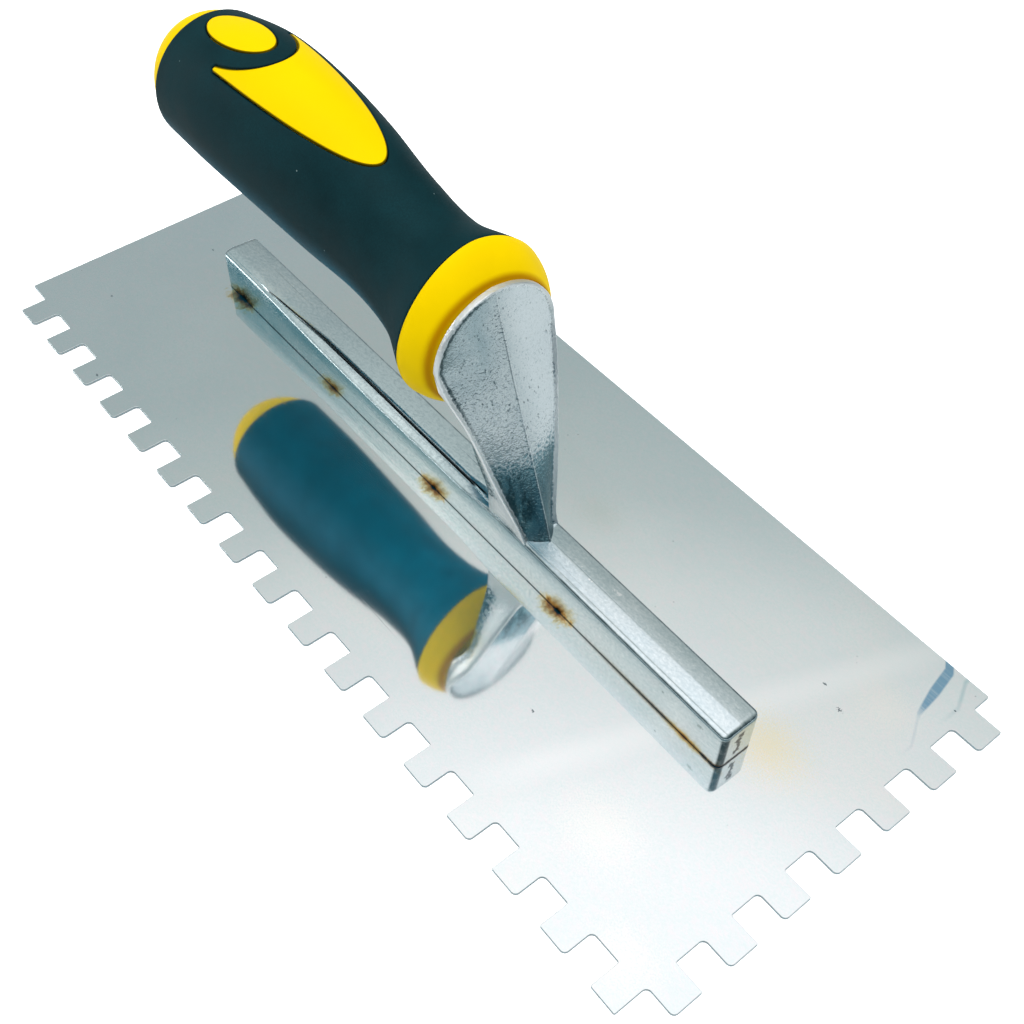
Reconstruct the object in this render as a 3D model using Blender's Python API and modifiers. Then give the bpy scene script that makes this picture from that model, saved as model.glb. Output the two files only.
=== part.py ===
"""Notched trowel: stainless blade, cast bar with neck and tang, two-material handle.

All sizes below are in millimetres; meshes are written in metres.
X runs along the blade towards its notched short edge, -Y is the notched long edge, Z is up.
The origin is the middle of the blade's underside.
"""

import math

import bmesh
import bpy

MM = 0.001
GAP = 0.3                    # clearance between pieces that touch
SHARP_ANGLE = math.radians(35.0)
WELD_DISTANCE = 0.000005

# Blade: one flat sheet, notched along -Y and +X
BLADE_LENGTH = 278.8
BLADE_WIDTH = 118.4
BLADE_THICKNESS = 0.8
NOTCH_DEPTH = 7.8
NOTCH_PITCH = 16.0
LONG_FIRST_NOTCH = 7.7
LONG_TOOTH = 7.9
LONG_TEETH = 17
SHORT_FIRST_NOTCH = 8.9
SHORT_TOOTH = 8.05
SHORT_TEETH = 7
ROUND_CORNER = 1.3
CRISP_CORNER = 0.35
SHEET_CORNER = 1.2           # the plain corner

# Everything above the blade sits this far from the blade's middle
MOUNT_X = 0.6
MOUNT_Y = 0.9

# Bar of the mount casting
BAR_BOTTOM = BLADE_THICKNESS + GAP
BAR_REAR = -104.9
BAR_FRONT = 105.0
BAR_HALF_WIDTH = 5.6
BAR_END_ROUND = 1.8

# Weld studs under the bar
STUD_PITCH = 48.5
STUD_COUNT = 5
STUD_OFFSET = 0.5
STUD_POINTS = 12
STUD_RADIUS = 2.0
STUD_TOP = 6.5

# Neck head, an upright oval plate against the collar
HEAD_BACK = 16.6
HEAD_CENTRE_Z = 63.9
HEAD_HALF_WIDTH = 16.8
HEAD_HALF_HEIGHT = 16.1
HEAD_LEAN = -0.8             # the head sits this far to one side of the bar
LEAN_START_Z = 20.0          # the neck leans over between these heights
LEAN_END_Z = 58.0

# Tang, bolt and washer share one axis
BOLT_AXIS_Z = 68.0
TANG_RADIUS = 7.0
TANG_REAR = -26.0
THREAD_HOLE_FRONT = -12.0
BOLT_RADIUS = 3.0
BOLT_TIP = -13.5
RECESS_FLOOR = -84.0
RECESS_RADIUS = 8.3
WASHER_THICKNESS = 1.3
WASHER_RADIUS = 7.0
BOLT_HEAD_RADIUS = 5.6
BOLT_HEAD_LENGTH = 5.0

# Grip and collar meet in an upright ring at this X
RING_X = 8.1

# Handle skin: station X, centre height, half width, half height, fullness (2 is an ellipse)
HANDLE_STATIONS = (
    (RING_X, 64.3, 20.9, 22.1, 1.82),
    (-4.0, 65.9, 15.9, 18.1, 1.92),
    (-20.0, 69.1, 14.7, 18.3, 2.0),
    (-40.0, 71.9, 16.6, 20.5, 2.0),
    (-60.0, 73.6, 18.1, 21.1, 2.0),
    (-80.0, 73.8, 19.0, 20.2, 2.0),
    (-100.0, 71.7, 18.0, 18.0, 2.0),
)
BUTT_X = -116.0
BUTT_FULLNESS = 1.64         # 2 is a round dome, less is more pointed
BUTT_STEP = 1.0              # the dome's rim sits this far inside the grip's rear edge
BUTT_RISE = 0.75             # the dome's tip is this much higher than its rim
GRIP_WALL = 2.6
RING_POINTS = 48

# Collar: convex face from the handle's front ring to the neck's head
COLLAR_FRONT = 16.3
COLLAR_FRONT_HALF_WIDTH = 16.8
COLLAR_FRONT_HALF_HEIGHT = 15.5
COLLAR_FRONT_Z = 63.5

# Islands on top of the handle, as outlines seen from above
ISLAND_Y = -0.5
OVAL_CENTRE_X = -81.8
OVAL_HALF_LENGTH = 13.4
OVAL_HALF_WIDTH = 6.2
LEAF_REAR_X = -78.0
LEAF_LENGTH = 54.4
LEAF_HALF_WIDTH = 11.8
LEAF_TIP = 1.2               # from the leaf's broad end to where its bite begins
CRESCENT_HALF_LENGTH = 19.0
CRESCENT_HALF_WIDTH = 11.0
ISLAND_FLOOR_Z = 79.0
ISLAND_TOP_Z = 100.0


def clear_scene():
    """Remove every object that a new file starts with."""
    for thing in list(bpy.data.objects):
        bpy.data.objects.remove(thing, do_unlink=True)


def new_collection(name):
    """Make a collection in the scene."""
    collection = bpy.data.collections.new(name)
    bpy.context.scene.collection.children.link(collection)
    return collection


def new_material(name, colour, metallic, roughness):
    """Make a plain Principled material."""
    material = bpy.data.materials.new(name)
    material.use_nodes = True
    shader = material.node_tree.nodes["Principled BSDF"]
    shader.inputs["Base Color"].default_value = (*colour, 1.0)
    shader.inputs["Metallic"].default_value = metallic
    shader.inputs["Roughness"].default_value = roughness
    material.diffuse_color = (*colour, 1.0)
    return material


def new_object(name, vertices, faces, collection, material=None):
    """Make a smooth mesh object from points round the mount's middle, with its faces outwards."""
    mesh = bpy.data.meshes.new(name)
    mesh.from_pydata([(x * MM, y * MM, z * MM) for x, y, z in vertices], [], faces)
    work = bmesh.new()
    work.from_mesh(mesh)
    bmesh.ops.recalc_face_normals(work, faces=work.faces)
    work.to_mesh(mesh)
    work.free()
    if material is not None:
        mesh.materials.append(material)
    mesh.shade_smooth()
    mesh.set_sharp_from_angle(angle=SHARP_ANGLE)
    thing = bpy.data.objects.new(name, mesh)
    thing.location = (MOUNT_X * MM, MOUNT_Y * MM, 0.0)
    collection.objects.link(thing)
    return thing


def cylinder(name, radius, centre, length, sides, collection, material=None, along_x=False):
    """Closed cylinder about a centre given from the mount's middle, upright or along X."""
    place = ((centre[0] + MOUNT_X) * MM, (centre[1] + MOUNT_Y) * MM, centre[2] * MM)
    turn = (0.0, 0.5 * math.pi, 0.0) if along_x else (0.0, 0.0, 0.0)
    bpy.ops.mesh.primitive_cylinder_add(vertices=sides, radius=radius * MM, depth=length * MM,
                                        location=place, rotation=turn)
    thing = bpy.context.object
    thing.name = name
    thing.data.name = name
    for holder in list(thing.users_collection):
        holder.objects.unlink(thing)
    collection.objects.link(thing)
    if material is not None:
        thing.data.materials.append(material)
    thing.data.shade_smooth()
    thing.data.set_sharp_from_angle(angle=SHARP_ANGLE)
    return thing


def rod(name, rear, front, radius, sides, collection, material=None):
    """Closed cylinder on the bolt's axis between two stations."""
    centre = (0.5 * (rear + front), 0.0, BOLT_AXIS_Z)
    return cylinder(name, radius, centre, front - rear, sides, collection, material, along_x=True)


def flat_piece(name, outline, low, high, place, collection, material=None):
    """Closed flat piece between two heights, from a plan outline as a filled curve."""
    curve = bpy.data.curves.new(name, "CURVE")
    curve.dimensions = "2D"
    curve.fill_mode = "BOTH"
    curve.extrude = 0.5 * (high - low) * MM
    spline = curve.splines.new("POLY")
    spline.points.add(len(outline) - 1)
    for point, (x, y) in zip(spline.points, outline):
        point.co = (x * MM, y * MM, 0.0, 1.0)
    spline.use_cyclic_u = True
    holder = bpy.data.objects.new(name + "_curve", curve)
    collection.objects.link(holder)
    holder.location = (place[0] * MM, place[1] * MM, 0.5 * (low + high) * MM)
    bpy.context.view_layer.update()
    graph = bpy.context.evaluated_depsgraph_get()
    mesh = bpy.data.meshes.new_from_object(holder.evaluated_get(graph))
    placed = holder.matrix_world.copy()
    bpy.data.objects.remove(holder, do_unlink=True)
    work = bmesh.new()
    work.from_mesh(mesh)
    bmesh.ops.remove_doubles(work, verts=work.verts, dist=WELD_DISTANCE)
    bmesh.ops.recalc_face_normals(work, faces=work.faces)
    work.to_mesh(mesh)
    work.free()
    mesh.name = name
    mesh.materials.clear()
    if material is not None:
        mesh.materials.append(material)
    thing = bpy.data.objects.new(name, mesh)
    thing.matrix_world = placed
    collection.objects.link(thing)
    return thing


def loft(rings, closed=False):
    """Join rings of equal length with quads; cap both ends, or join last to first."""
    count = len(rings[0])
    vertices = [point for ring in rings for point in ring]
    faces = []
    pairs = len(rings) if closed else len(rings) - 1
    for level in range(pairs):
        below = level * count
        above = ((level + 1) % len(rings)) * count
        for index in range(count):
            after = (index + 1) % count
            faces.append((below + index, below + after, above + after, above + index))
    if not closed:
        faces.append(tuple(range(count)))
        faces.append(tuple(range((len(rings) - 1) * count, len(rings) * count)))
    return vertices, faces


def as_cutter(thing):
    """Mark an object as a cutting tool only."""
    thing.hide_render = True
    thing.display_type = "WIRE"
    return thing


def add_boolean(thing, tool, operation):
    """Add an exact Boolean with another object."""
    modifier = thing.modifiers.new(operation.title() + " " + tool.name, "BOOLEAN")
    modifier.operation = operation
    modifier.solver = "EXACT"
    modifier.object = tool


def circle_ring(x, radius, centre_z, count):
    """Ring of points round an axis along X."""
    ring = []
    for index in range(count):
        angle = 2.0 * math.pi * index / count
        ring.append((x, radius * math.cos(angle), centre_z + radius * math.sin(angle)))
    return ring


# ---------------------------------------------------------------- blade

def rounded_outline(corners):
    """Replace each corner (x, y, radius) of a right-angled outline with a short arc."""
    outline = []
    for index, (x, y, radius) in enumerate(corners):
        before = corners[index - 1]
        after = corners[(index + 1) % len(corners)]
        in_x = (before[0] > x) - (before[0] < x)
        in_y = (before[1] > y) - (before[1] < y)
        out_x = (after[0] > x) - (after[0] < x)
        out_y = (after[1] > y) - (after[1] < y)
        centre_x = x + radius * (in_x + out_x)
        centre_y = y + radius * (in_y + out_y)
        steps = 3 if radius > 1.0 else 1
        for step in range(steps + 1):
            turn = 0.5 * math.pi * step / steps
            from_in = radius * math.cos(turn)
            from_out = radius * math.sin(turn)
            outline.append((centre_x - from_in * out_x - from_out * in_x,
                            centre_y - from_in * out_y - from_out * in_y))
    return outline


def blade_corners():
    """Corners of the blade, anticlockwise from the rear plain corner."""
    left = -0.5 * BLADE_LENGTH
    right = 0.5 * BLADE_LENGTH
    near = -0.5 * BLADE_WIDTH
    far = 0.5 * BLADE_WIDTH
    root_y = near + NOTCH_DEPTH
    root_x = right - NOTCH_DEPTH
    corners = [(left, far, SHEET_CORNER), (left, root_y, CRISP_CORNER)]
    for tooth in range(LONG_TEETH):
        start = left + LONG_FIRST_NOTCH + NOTCH_PITCH * tooth
        end = min(start + LONG_TOOTH, root_x)
        corners.append((start, root_y, CRISP_CORNER))
        corners.append((start, near, CRISP_CORNER))
        if tooth < LONG_TEETH - 1:
            corners.append((end, near, ROUND_CORNER))
            corners.append((end, root_y, ROUND_CORNER))
        else:
            corners.append((end, near, CRISP_CORNER))
    for tooth in range(SHORT_TEETH):
        start = near + SHORT_FIRST_NOTCH + NOTCH_PITCH * tooth
        end = start + SHORT_TOOTH
        corners.append((root_x, start, ROUND_CORNER))
        corners.append((right, start, ROUND_CORNER))
        corners.append((right, end, CRISP_CORNER))
        corners.append((root_x, end, CRISP_CORNER))
    corners.append((root_x, far, CRISP_CORNER))
    return corners


def build_blade(parts, material):
    """Flat notched sheet."""
    flat_piece("blade", rounded_outline(blade_corners()), 0.0, BLADE_THICKNESS, (0.0, 0.0),
               parts, material)


# ---------------------------------------------------------------- mount casting

def bar_section(x, half_width, side_top, edge_width, edge_height, crown):
    """Closed section of the bar: upright sides, sloped edges and a shallow crown."""
    inner = half_width - edge_width
    edge_top = side_top + edge_height
    return [
        (x, -half_width, BAR_BOTTOM),
        (x, -half_width, side_top),
        (x, -inner, edge_top),
        (x, 0.0, crown),
        (x, inner, edge_top),
        (x, half_width, side_top),
        (x, half_width, BAR_BOTTOM),
    ]


def bar_end(x, towards, side_top, edge_width, edge_height, crown):
    """Sections that round off one end of the bar."""
    sections = []
    for step in range(5):
        turn = 0.5 * math.pi * step / 4
        inwards = BAR_END_ROUND * (1.0 - math.sin(turn))
        narrower = BAR_END_ROUND * (1.0 - math.cos(turn))
        lower = 0.6 * narrower
        sections.append(bar_section(x - towards * narrower, BAR_HALF_WIDTH - inwards,
                                    side_top - 0.6 * inwards, edge_width, edge_height,
                                    crown - lower - 0.6 * inwards + 0.6 * narrower))
    return sections


def build_bar(parts, material):
    """Bar as one loft: broad sloped edges behind the neck, a fine edge in front of it."""
    rear = bar_end(BAR_REAR, -1.0, 12.5, 0.7, 0.7, 13.5)
    front = bar_end(BAR_FRONT, 1.0, 12.6, 0.7, 0.6, 14.1)
    rear.sort(key=lambda section: section[0][0])
    front.sort(key=lambda section: section[0][0])
    middle = [
        bar_section(-92.0, BAR_HALF_WIDTH, 12.4, 0.8, 0.9, 13.6),
        bar_section(-68.0, BAR_HALF_WIDTH, 11.6, 2.4, 1.7, 13.5),
        bar_section(16.0, BAR_HALF_WIDTH, 11.2, 2.9, 2.1, 13.5),
        bar_section(24.0, BAR_HALF_WIDTH, 12.3, 1.0, 0.9, 13.6),
        bar_section(38.0, BAR_HALF_WIDTH, 12.6, 0.7, 0.6, 14.1),
    ]
    vertices, faces = loft(rear + middle + front)
    return new_object("mount_casting", vertices, faces, parts, material)


def neck_section(height, ridge, edge, half_width, rear, rear_half_width):
    """Level section of the neck: ridged front face, lip along each side, narrower back."""
    rise = ridge - edge
    side = [
        (ridge, 0.0),
        (edge + 0.80 * rise, 0.30 * half_width),
        (edge + 0.48 * rise, 0.62 * half_width),
        (edge + 0.12 * rise, 0.88 * half_width),
        (edge - 0.25, 0.975 * half_width),
        (edge - 0.9, half_width),
        (edge - 1.5, 0.985 * half_width),
        (0.5 * (edge - 1.5 + rear), 0.5 * (half_width + rear_half_width)),
        (rear + 0.5, rear_half_width),
        (rear, rear_half_width - 0.6),
    ]
    share = (height - LEAN_START_Z) / (LEAN_END_Z - LEAN_START_Z)
    lean = HEAD_LEAN * max(0.0, min(1.0, share))
    ring = [(x, lean + y, height) for x, y in side]
    ring.append((rear, lean, height))
    ring.extend((x, lean - y, height) for x, y in reversed(side[1:]))
    return ring


def neck_levels():
    """Levels of the neck: height, ridge X, edge X, half width, rear X, rear half width."""
    levels = [
        (9.0, 39.9, 36.2, 5.3, 21.0, 5.0),
        (14.0, 39.0, 35.2, 5.5, 21.0, 5.2),
        (17.0, 38.0, 34.2, 5.9, 21.0, 5.3),
        (21.0, 36.7, 33.0, 6.9, 21.0, 5.6),
        (26.0, 35.1, 31.6, 8.2, 21.0, 6.6),
        (31.0, 33.5, 30.2, 9.4, 21.0, 7.9),
        (36.0, 31.9, 28.9, 10.5, 20.9, 9.1),
        (41.0, 30.2, 27.4, 11.4, 20.7, 9.9),
        (46.0, 28.6, 25.9, 12.5, 20.3, 11.1),
        (50.0, 27.3, 24.6, 13.4, 18.9, 12.2),
        (54.0, 26.0, 22.9, 14.6, HEAD_BACK, 13.8),
        (58.0, 24.7, 21.0, 15.8, HEAD_BACK, 15.5),
    ]
    for degrees in (0, 14, 28, 41, 53, 64, 74, 82):
        turn = math.radians(degrees)
        height = HEAD_CENTRE_Z + HEAD_HALF_HEIGHT * math.sin(turn)
        half_width = HEAD_HALF_WIDTH * math.cos(turn)
        ridge = 38.3 - 0.324 * (height - 15.8)
        edge = 18.9 - 0.025 * (height - HEAD_CENTRE_Z)
        share = math.cos(turn) ** 0.8
        ridge = edge + (ridge - edge) * (0.12 + 0.88 * share)
        levels.append((height, ridge, edge, half_width, HEAD_BACK, half_width - 0.2))
    return levels


def build_mount(parts, cutters, material):
    """Bar, neck and tang joined as one casting, with stud pockets and a threaded hole."""
    mount = build_bar(parts, material)
    rings = [neck_section(*level) for level in neck_levels()]
    vertices, faces = loft(rings)
    neck = as_cutter(new_object("neck_shape", vertices, faces, cutters))
    add_boolean(mount, neck, "UNION")
    tang = as_cutter(rod("tang_shape", TANG_REAR, HEAD_BACK + 1.0, TANG_RADIUS, 20, cutters))
    rounding = tang.modifiers.new("Rounded end", "BEVEL")
    rounding.width = 1.0 * MM
    rounding.segments = 2
    add_boolean(mount, tang, "UNION")
    thread = as_cutter(rod("thread_hole", TANG_REAR - 1.0, THREAD_HOLE_FRONT, BOLT_RADIUS + GAP,
                           16, cutters))
    add_boolean(mount, thread, "DIFFERENCE")
    pocket_low = BAR_BOTTOM - 1.0
    pocket_high = STUD_TOP + GAP
    for place, centre_x in enumerate(stud_places()):
        centre = (centre_x, 0.0, 0.5 * (pocket_low + pocket_high))
        pocket = as_cutter(cylinder("stud_pocket_%d" % (place + 1), STUD_RADIUS + GAP, centre,
                                    pocket_high - pocket_low, STUD_POINTS, cutters))
        add_boolean(mount, pocket, "DIFFERENCE")
    return mount


def stud_places():
    """X of each weld stud."""
    middle = 0.5 * (STUD_COUNT - 1)
    return [STUD_OFFSET + STUD_PITCH * (place - middle) for place in range(STUD_COUNT)]


def build_studs(parts, material):
    """Five weld studs, each standing in its pocket."""
    low = BLADE_THICKNESS + GAP
    for place, centre_x in enumerate(stud_places()):
        centre = (centre_x, 0.0, 0.5 * (low + STUD_TOP))
        cylinder("weld_stud_%d" % (place + 1), STUD_RADIUS, centre, STUD_TOP - low,
                 STUD_POINTS, parts, material)


# ---------------------------------------------------------------- handle

def handle_size(x):
    """Centre height, half width, half height and fullness of the skin at station x."""
    stations = HANDLE_STATIONS
    last = stations[-1]
    if x < last[0]:
        share = (last[0] - x) / (last[0] - BUTT_X)
        fall = max(0.0, 1.0 - share ** BUTT_FULLNESS) ** (1.0 / BUTT_FULLNESS)
        half_width = (last[2] - BUTT_STEP) * fall
        half_height = (last[3] - BUTT_STEP) * fall
        return last[1] + BUTT_RISE * share, half_width, half_height, last[4]
    span = 0
    while span < len(stations) - 2 and x < stations[span + 1][0]:
        span += 1
    start = stations[span]
    end = stations[span + 1]
    before = stations[max(span - 1, 0)]
    after = stations[min(span + 2, len(stations) - 1)]
    share = (start[0] - x) / (start[0] - end[0])
    length = start[0] - end[0]
    values = []
    for index in (1, 2, 3, 4):
        slope_in = (end[index] - before[index]) / (before[0] - end[0])
        slope_out = (after[index] - start[index]) / (start[0] - after[0])
        cubic = (2 * share ** 3 - 3 * share ** 2 + 1) * start[index]
        cubic += (share ** 3 - 2 * share ** 2 + share) * length * slope_in
        cubic += (3 * share ** 2 - 2 * share ** 3) * end[index]
        cubic += (share ** 3 - share ** 2) * length * slope_out
        values.append(cubic)
    return tuple(values)


def oval_ring(x, centre_z, half_width, half_height, fullness=2.0):
    """Upright oval ring of points at station x; the fullness sets how square it is."""
    ring = []
    for index in range(RING_POINTS):
        angle = 2.0 * math.pi * index / RING_POINTS
        across = math.copysign(abs(math.cos(angle)) ** (2.0 / fullness), math.cos(angle))
        upwards = math.copysign(abs(math.sin(angle)) ** (2.0 / fullness), math.sin(angle))
        ring.append((x, half_width * across, centre_z + half_height * upwards))
    return ring


def skin_ring(x, inwards=0.0):
    """Ring of the handle's skin at station x, moved inwards."""
    centre_z, half_width, half_height, fullness = handle_size(x)
    return oval_ring(x, centre_z, half_width - inwards, half_height - inwards, fullness)


def stations_between(front, rear, count):
    """Evenly spaced stations from front to rear."""
    return [front + (rear - front) * index / (count - 1) for index in range(count)]


def grip_stations():
    """Stations of the grip's outer face, front to rear."""
    return stations_between(RING_X - GAP, HANDLE_STATIONS[-1][0] + 0.15, 34)


def lining_stations():
    """Stations that the grip's lining and the core under it share, rear to front."""
    return stations_between(HANDLE_STATIONS[-1][0] + 0.15, RING_X - GAP, 16)


def oval_outline(centre_x, half_length, half_width, count=40):
    """Plan outline of an oval."""
    outline = []
    for index in range(count):
        angle = 2.0 * math.pi * index / count
        outline.append((centre_x + half_length * math.cos(angle),
                        ISLAND_Y + half_width * math.sin(angle)))
    return outline


def leaf_outline(grow):
    """Plan outline of the leaf: long half oval with an oval bite out of its broad end."""
    length = LEAF_LENGTH + grow
    half_width = LEAF_HALF_WIDTH + grow
    side = []
    for index in range(19):
        angle = math.radians(88.5 * index / 18)
        side.append((LEAF_REAR_X + length * math.cos(angle), half_width * math.sin(angle)))
    bite_length = CRESCENT_HALF_LENGTH - grow
    bite_width = CRESCENT_HALF_WIDTH - grow
    bite_start = math.acos((LEAF_REAR_X + LEAF_TIP - grow - OVAL_CENTRE_X) / bite_length)
    tip_y = 0.5 * (half_width + bite_width * math.sin(bite_start))
    side.append((LEAF_REAR_X + LEAF_TIP - 0.7 - grow, tip_y))
    for index in range(13):
        angle = bite_start * (1.0 - index / 12)
        side.append((OVAL_CENTRE_X + bite_length * math.cos(angle), bite_width * math.sin(angle)))
    outline = [(x, ISLAND_Y + y) for x, y in side]
    outline.extend((x, ISLAND_Y - y) for x, y in reversed(side[1:-1]))
    return outline


def build_core(parts, cutters, material):
    """Hard core: inner body, front collar, two islands, tang pocket, bore and recess."""
    inner = GRIP_WALL + GAP
    rings = [skin_ring(x, inner) for x in lining_stations() + [RING_X]]
    rings.append(skin_ring(RING_X))
    ring_z, ring_half_width, ring_half_height, ring_fullness = handle_size(RING_X)
    for step in range(1, 9):
        turn = 0.5 * math.pi * step / 8
        share = math.cos(turn) ** 1.8 if step < 8 else 0.0
        rings.append(oval_ring(
            RING_X + (COLLAR_FRONT - RING_X) * math.sin(turn) ** 1.3,
            COLLAR_FRONT_Z + (ring_z - COLLAR_FRONT_Z) * share,
            COLLAR_FRONT_HALF_WIDTH + (ring_half_width - COLLAR_FRONT_HALF_WIDTH) * share,
            COLLAR_FRONT_HALF_HEIGHT + (ring_half_height - COLLAR_FRONT_HALF_HEIGHT) * share,
            2.0 + (ring_fullness - 2.0) * share))
    vertices, faces = loft(rings)
    core = new_object("handle_core", vertices, faces, parts, material)
    top_rings = [skin_ring(x) for x in grip_stations() if -99.0 < x < -15.0]
    vertices, faces = loft(top_rings)
    for name, outline in (
        ("oval_island", oval_outline(OVAL_CENTRE_X, OVAL_HALF_LENGTH, OVAL_HALF_WIDTH)),
        ("leaf_island", leaf_outline(0.0)),
    ):
        island = as_cutter(new_object(name, vertices, faces, cutters))
        plan = as_cutter(flat_piece(name + "_plan", outline, ISLAND_FLOOR_Z, ISLAND_TOP_Z,
                                    (MOUNT_X, MOUNT_Y), cutters))
        add_boolean(island, plan, "INTERSECT")
        add_boolean(core, island, "UNION")
    pocket = as_cutter(rod("tang_pocket", TANG_REAR - GAP, COLLAR_FRONT + 2.0, TANG_RADIUS + GAP,
                           20, cutters))
    add_boolean(core, pocket, "DIFFERENCE")
    bore = as_cutter(rod("bolt_bore", RECESS_FLOOR - 1.0, TANG_REAR + 2.0, BOLT_RADIUS + GAP,
                         16, cutters))
    add_boolean(core, bore, "DIFFERENCE")
    recess = as_cutter(rod("bolt_recess", BUTT_X, RECESS_FLOOR, RECESS_RADIUS, 24, cutters))
    add_boolean(core, recess, "DIFFERENCE")
    return core


def build_grip(parts, cutters, material):
    """Soft shell over the core with a window round each island."""
    outer = [skin_ring(x) for x in grip_stations()]
    lining = [skin_ring(x, GRIP_WALL) for x in lining_stations()]
    vertices, faces = loft(outer + lining, closed=True)
    grip = new_object("soft_grip", vertices, faces, parts, material)
    oval = oval_outline(OVAL_CENTRE_X, OVAL_HALF_LENGTH + GAP, OVAL_HALF_WIDTH + GAP)
    for name, outline in (("oval_window", oval), ("leaf_window", leaf_outline(GAP))):
        window = as_cutter(flat_piece(name, outline, ISLAND_FLOOR_Z - 1.0, ISLAND_TOP_Z,
                                      (MOUNT_X, MOUNT_Y), cutters))
        add_boolean(grip, window, "DIFFERENCE")
    return grip


def build_cap(parts, material):
    """Domed butt with a short spigot that closes the bolt recess."""
    front = HANDLE_STATIONS[-1][0] - 0.15
    rings = [
        circle_ring(front + 5.5, RECESS_RADIUS - GAP - 0.5, BOLT_AXIS_Z, RING_POINTS),
        circle_ring(front + 5.0, RECESS_RADIUS - GAP, BOLT_AXIS_Z, RING_POINTS),
        circle_ring(front, RECESS_RADIUS - GAP, BOLT_AXIS_Z, RING_POINTS),
        skin_ring(front),
    ]
    for step in range(1, 10):
        turn = 0.5 * math.pi * step / 10
        rings.append(skin_ring(front + (BUTT_X - front) * math.sin(turn)))
    rings.append(skin_ring(front + (BUTT_X - front) * 0.9985))
    vertices, faces = loft(rings)
    return new_object("end_cap", vertices, faces, parts, material)


def build_bolt(parts, cutters, steel, zinc):
    """Hexagon bolt with its washer, both on the tang's axis."""
    washer_front = RECESS_FLOOR - GAP
    washer_rear = washer_front - WASHER_THICKNESS
    head_front = washer_rear - GAP
    bolt = rod("handle_bolt", head_front - 1.0, BOLT_TIP, BOLT_RADIUS, 24, parts, steel)
    chamfer = bolt.modifiers.new("Chamfered tip", "BEVEL")
    chamfer.width = 0.6 * MM
    chamfer.segments = 1
    head = as_cutter(rod("bolt_head", head_front - BOLT_HEAD_LENGTH, head_front,
                         BOLT_HEAD_RADIUS, 6, cutters))
    add_boolean(bolt, head, "UNION")
    washer = rod("bolt_washer", washer_rear, washer_front, WASHER_RADIUS, 24, parts, zinc)
    hole = as_cutter(rod("washer_hole", washer_rear - 1.0, washer_front + 1.0,
                         BOLT_RADIUS + GAP, 24, cutters))
    add_boolean(washer, hole, "DIFFERENCE")


def main():
    """Build the trowel."""
    clear_scene()
    parts = new_collection("notched_trowel")
    cutters = new_collection("cutters")
    build_blade(parts, new_material("blade_stainless", (0.72, 0.74, 0.75), 1.0, 0.12))
    build_mount(parts, cutters, new_material("mount_alloy", (0.66, 0.69, 0.72), 1.0, 0.3))
    build_studs(parts, new_material("stud_steel", (0.45, 0.44, 0.43), 1.0, 0.45))
    build_core(parts, cutters, new_material("core_yellow", (0.95, 0.75, 0.0), 0.0, 0.35))
    build_grip(parts, cutters, new_material("grip_dark", (0.02, 0.045, 0.05), 0.0, 0.6))
    build_cap(parts, new_material("cap_yellow", (0.95, 0.75, 0.0), 0.0, 0.35))
    build_bolt(parts, cutters, new_material("bolt_zinc", (0.6, 0.61, 0.62), 1.0, 0.35),
               new_material("washer_zinc", (0.62, 0.63, 0.64), 1.0, 0.4))


main()
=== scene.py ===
"""Looks of the notched trowel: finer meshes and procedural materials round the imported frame.

Meshes are worked out in millimetres from the middle of the mount casting and written in metres.
X runs along the blade towards its notched short edge, -Y is the notched long edge, Z is up.
"""

import math

import bmesh
import bpy
import numpy as np
from mathutils import Matrix, Vector, geometry


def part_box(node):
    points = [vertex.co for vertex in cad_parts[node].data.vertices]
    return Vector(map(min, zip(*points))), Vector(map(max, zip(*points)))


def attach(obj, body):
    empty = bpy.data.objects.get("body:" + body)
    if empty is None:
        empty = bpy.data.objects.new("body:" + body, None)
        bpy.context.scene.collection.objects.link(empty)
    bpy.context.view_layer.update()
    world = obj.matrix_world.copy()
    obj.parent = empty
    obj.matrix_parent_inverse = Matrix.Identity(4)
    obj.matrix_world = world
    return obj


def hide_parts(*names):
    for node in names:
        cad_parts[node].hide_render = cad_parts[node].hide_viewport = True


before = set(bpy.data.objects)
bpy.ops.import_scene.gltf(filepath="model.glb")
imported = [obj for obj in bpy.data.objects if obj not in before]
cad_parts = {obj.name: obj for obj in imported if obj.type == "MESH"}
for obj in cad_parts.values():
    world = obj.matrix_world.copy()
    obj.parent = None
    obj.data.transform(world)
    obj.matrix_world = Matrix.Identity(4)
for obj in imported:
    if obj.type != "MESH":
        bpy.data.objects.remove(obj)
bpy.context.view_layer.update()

MM = 0.001
GAP = 0.3                        # clearance between pieces that touch

# Places that the frame gives
BLADE_LOW, BLADE_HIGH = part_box("blade")
MOUNT_LOW, MOUNT_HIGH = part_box("mount_casting")
BAR_REAR = -104.9
MIDDLE_X = MOUNT_LOW.x / MM - BAR_REAR
HEAD_LEAN = -0.8                 # the head sits this far to one side of the bar
MIDDLE_Y = 0.5 * (MOUNT_LOW.y + MOUNT_HIGH.y) / MM - HEAD_LEAN
BLADE_TOP = BLADE_HIGH.z / MM

# Blade
NOTCH_DEPTH = 7.8
NOTCH_PITCH = 16.0
LONG_FIRST_NOTCH = 7.7
LONG_TOOTH = 7.9
LONG_TEETH = 17
SHORT_FIRST_NOTCH = 8.9
SHORT_TOOTH = 8.05
SHORT_TEETH = 7
ROUND_CORNER = 1.3
CRISP_CORNER = 0.35
SHEET_CORNER = 1.2
SHEET_EDGE = 0.1                 # rounding of the sheet's cut edges

# Bar
BAR_BOTTOM = BLADE_TOP + GAP
BAR_FRONT = 105.0
BAR_HALF_WIDTH = 5.6
BAR_END_ROUND = 1.8
BAR_RISE = 12.0                  # height over which a rounded end is lowered in full

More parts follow.
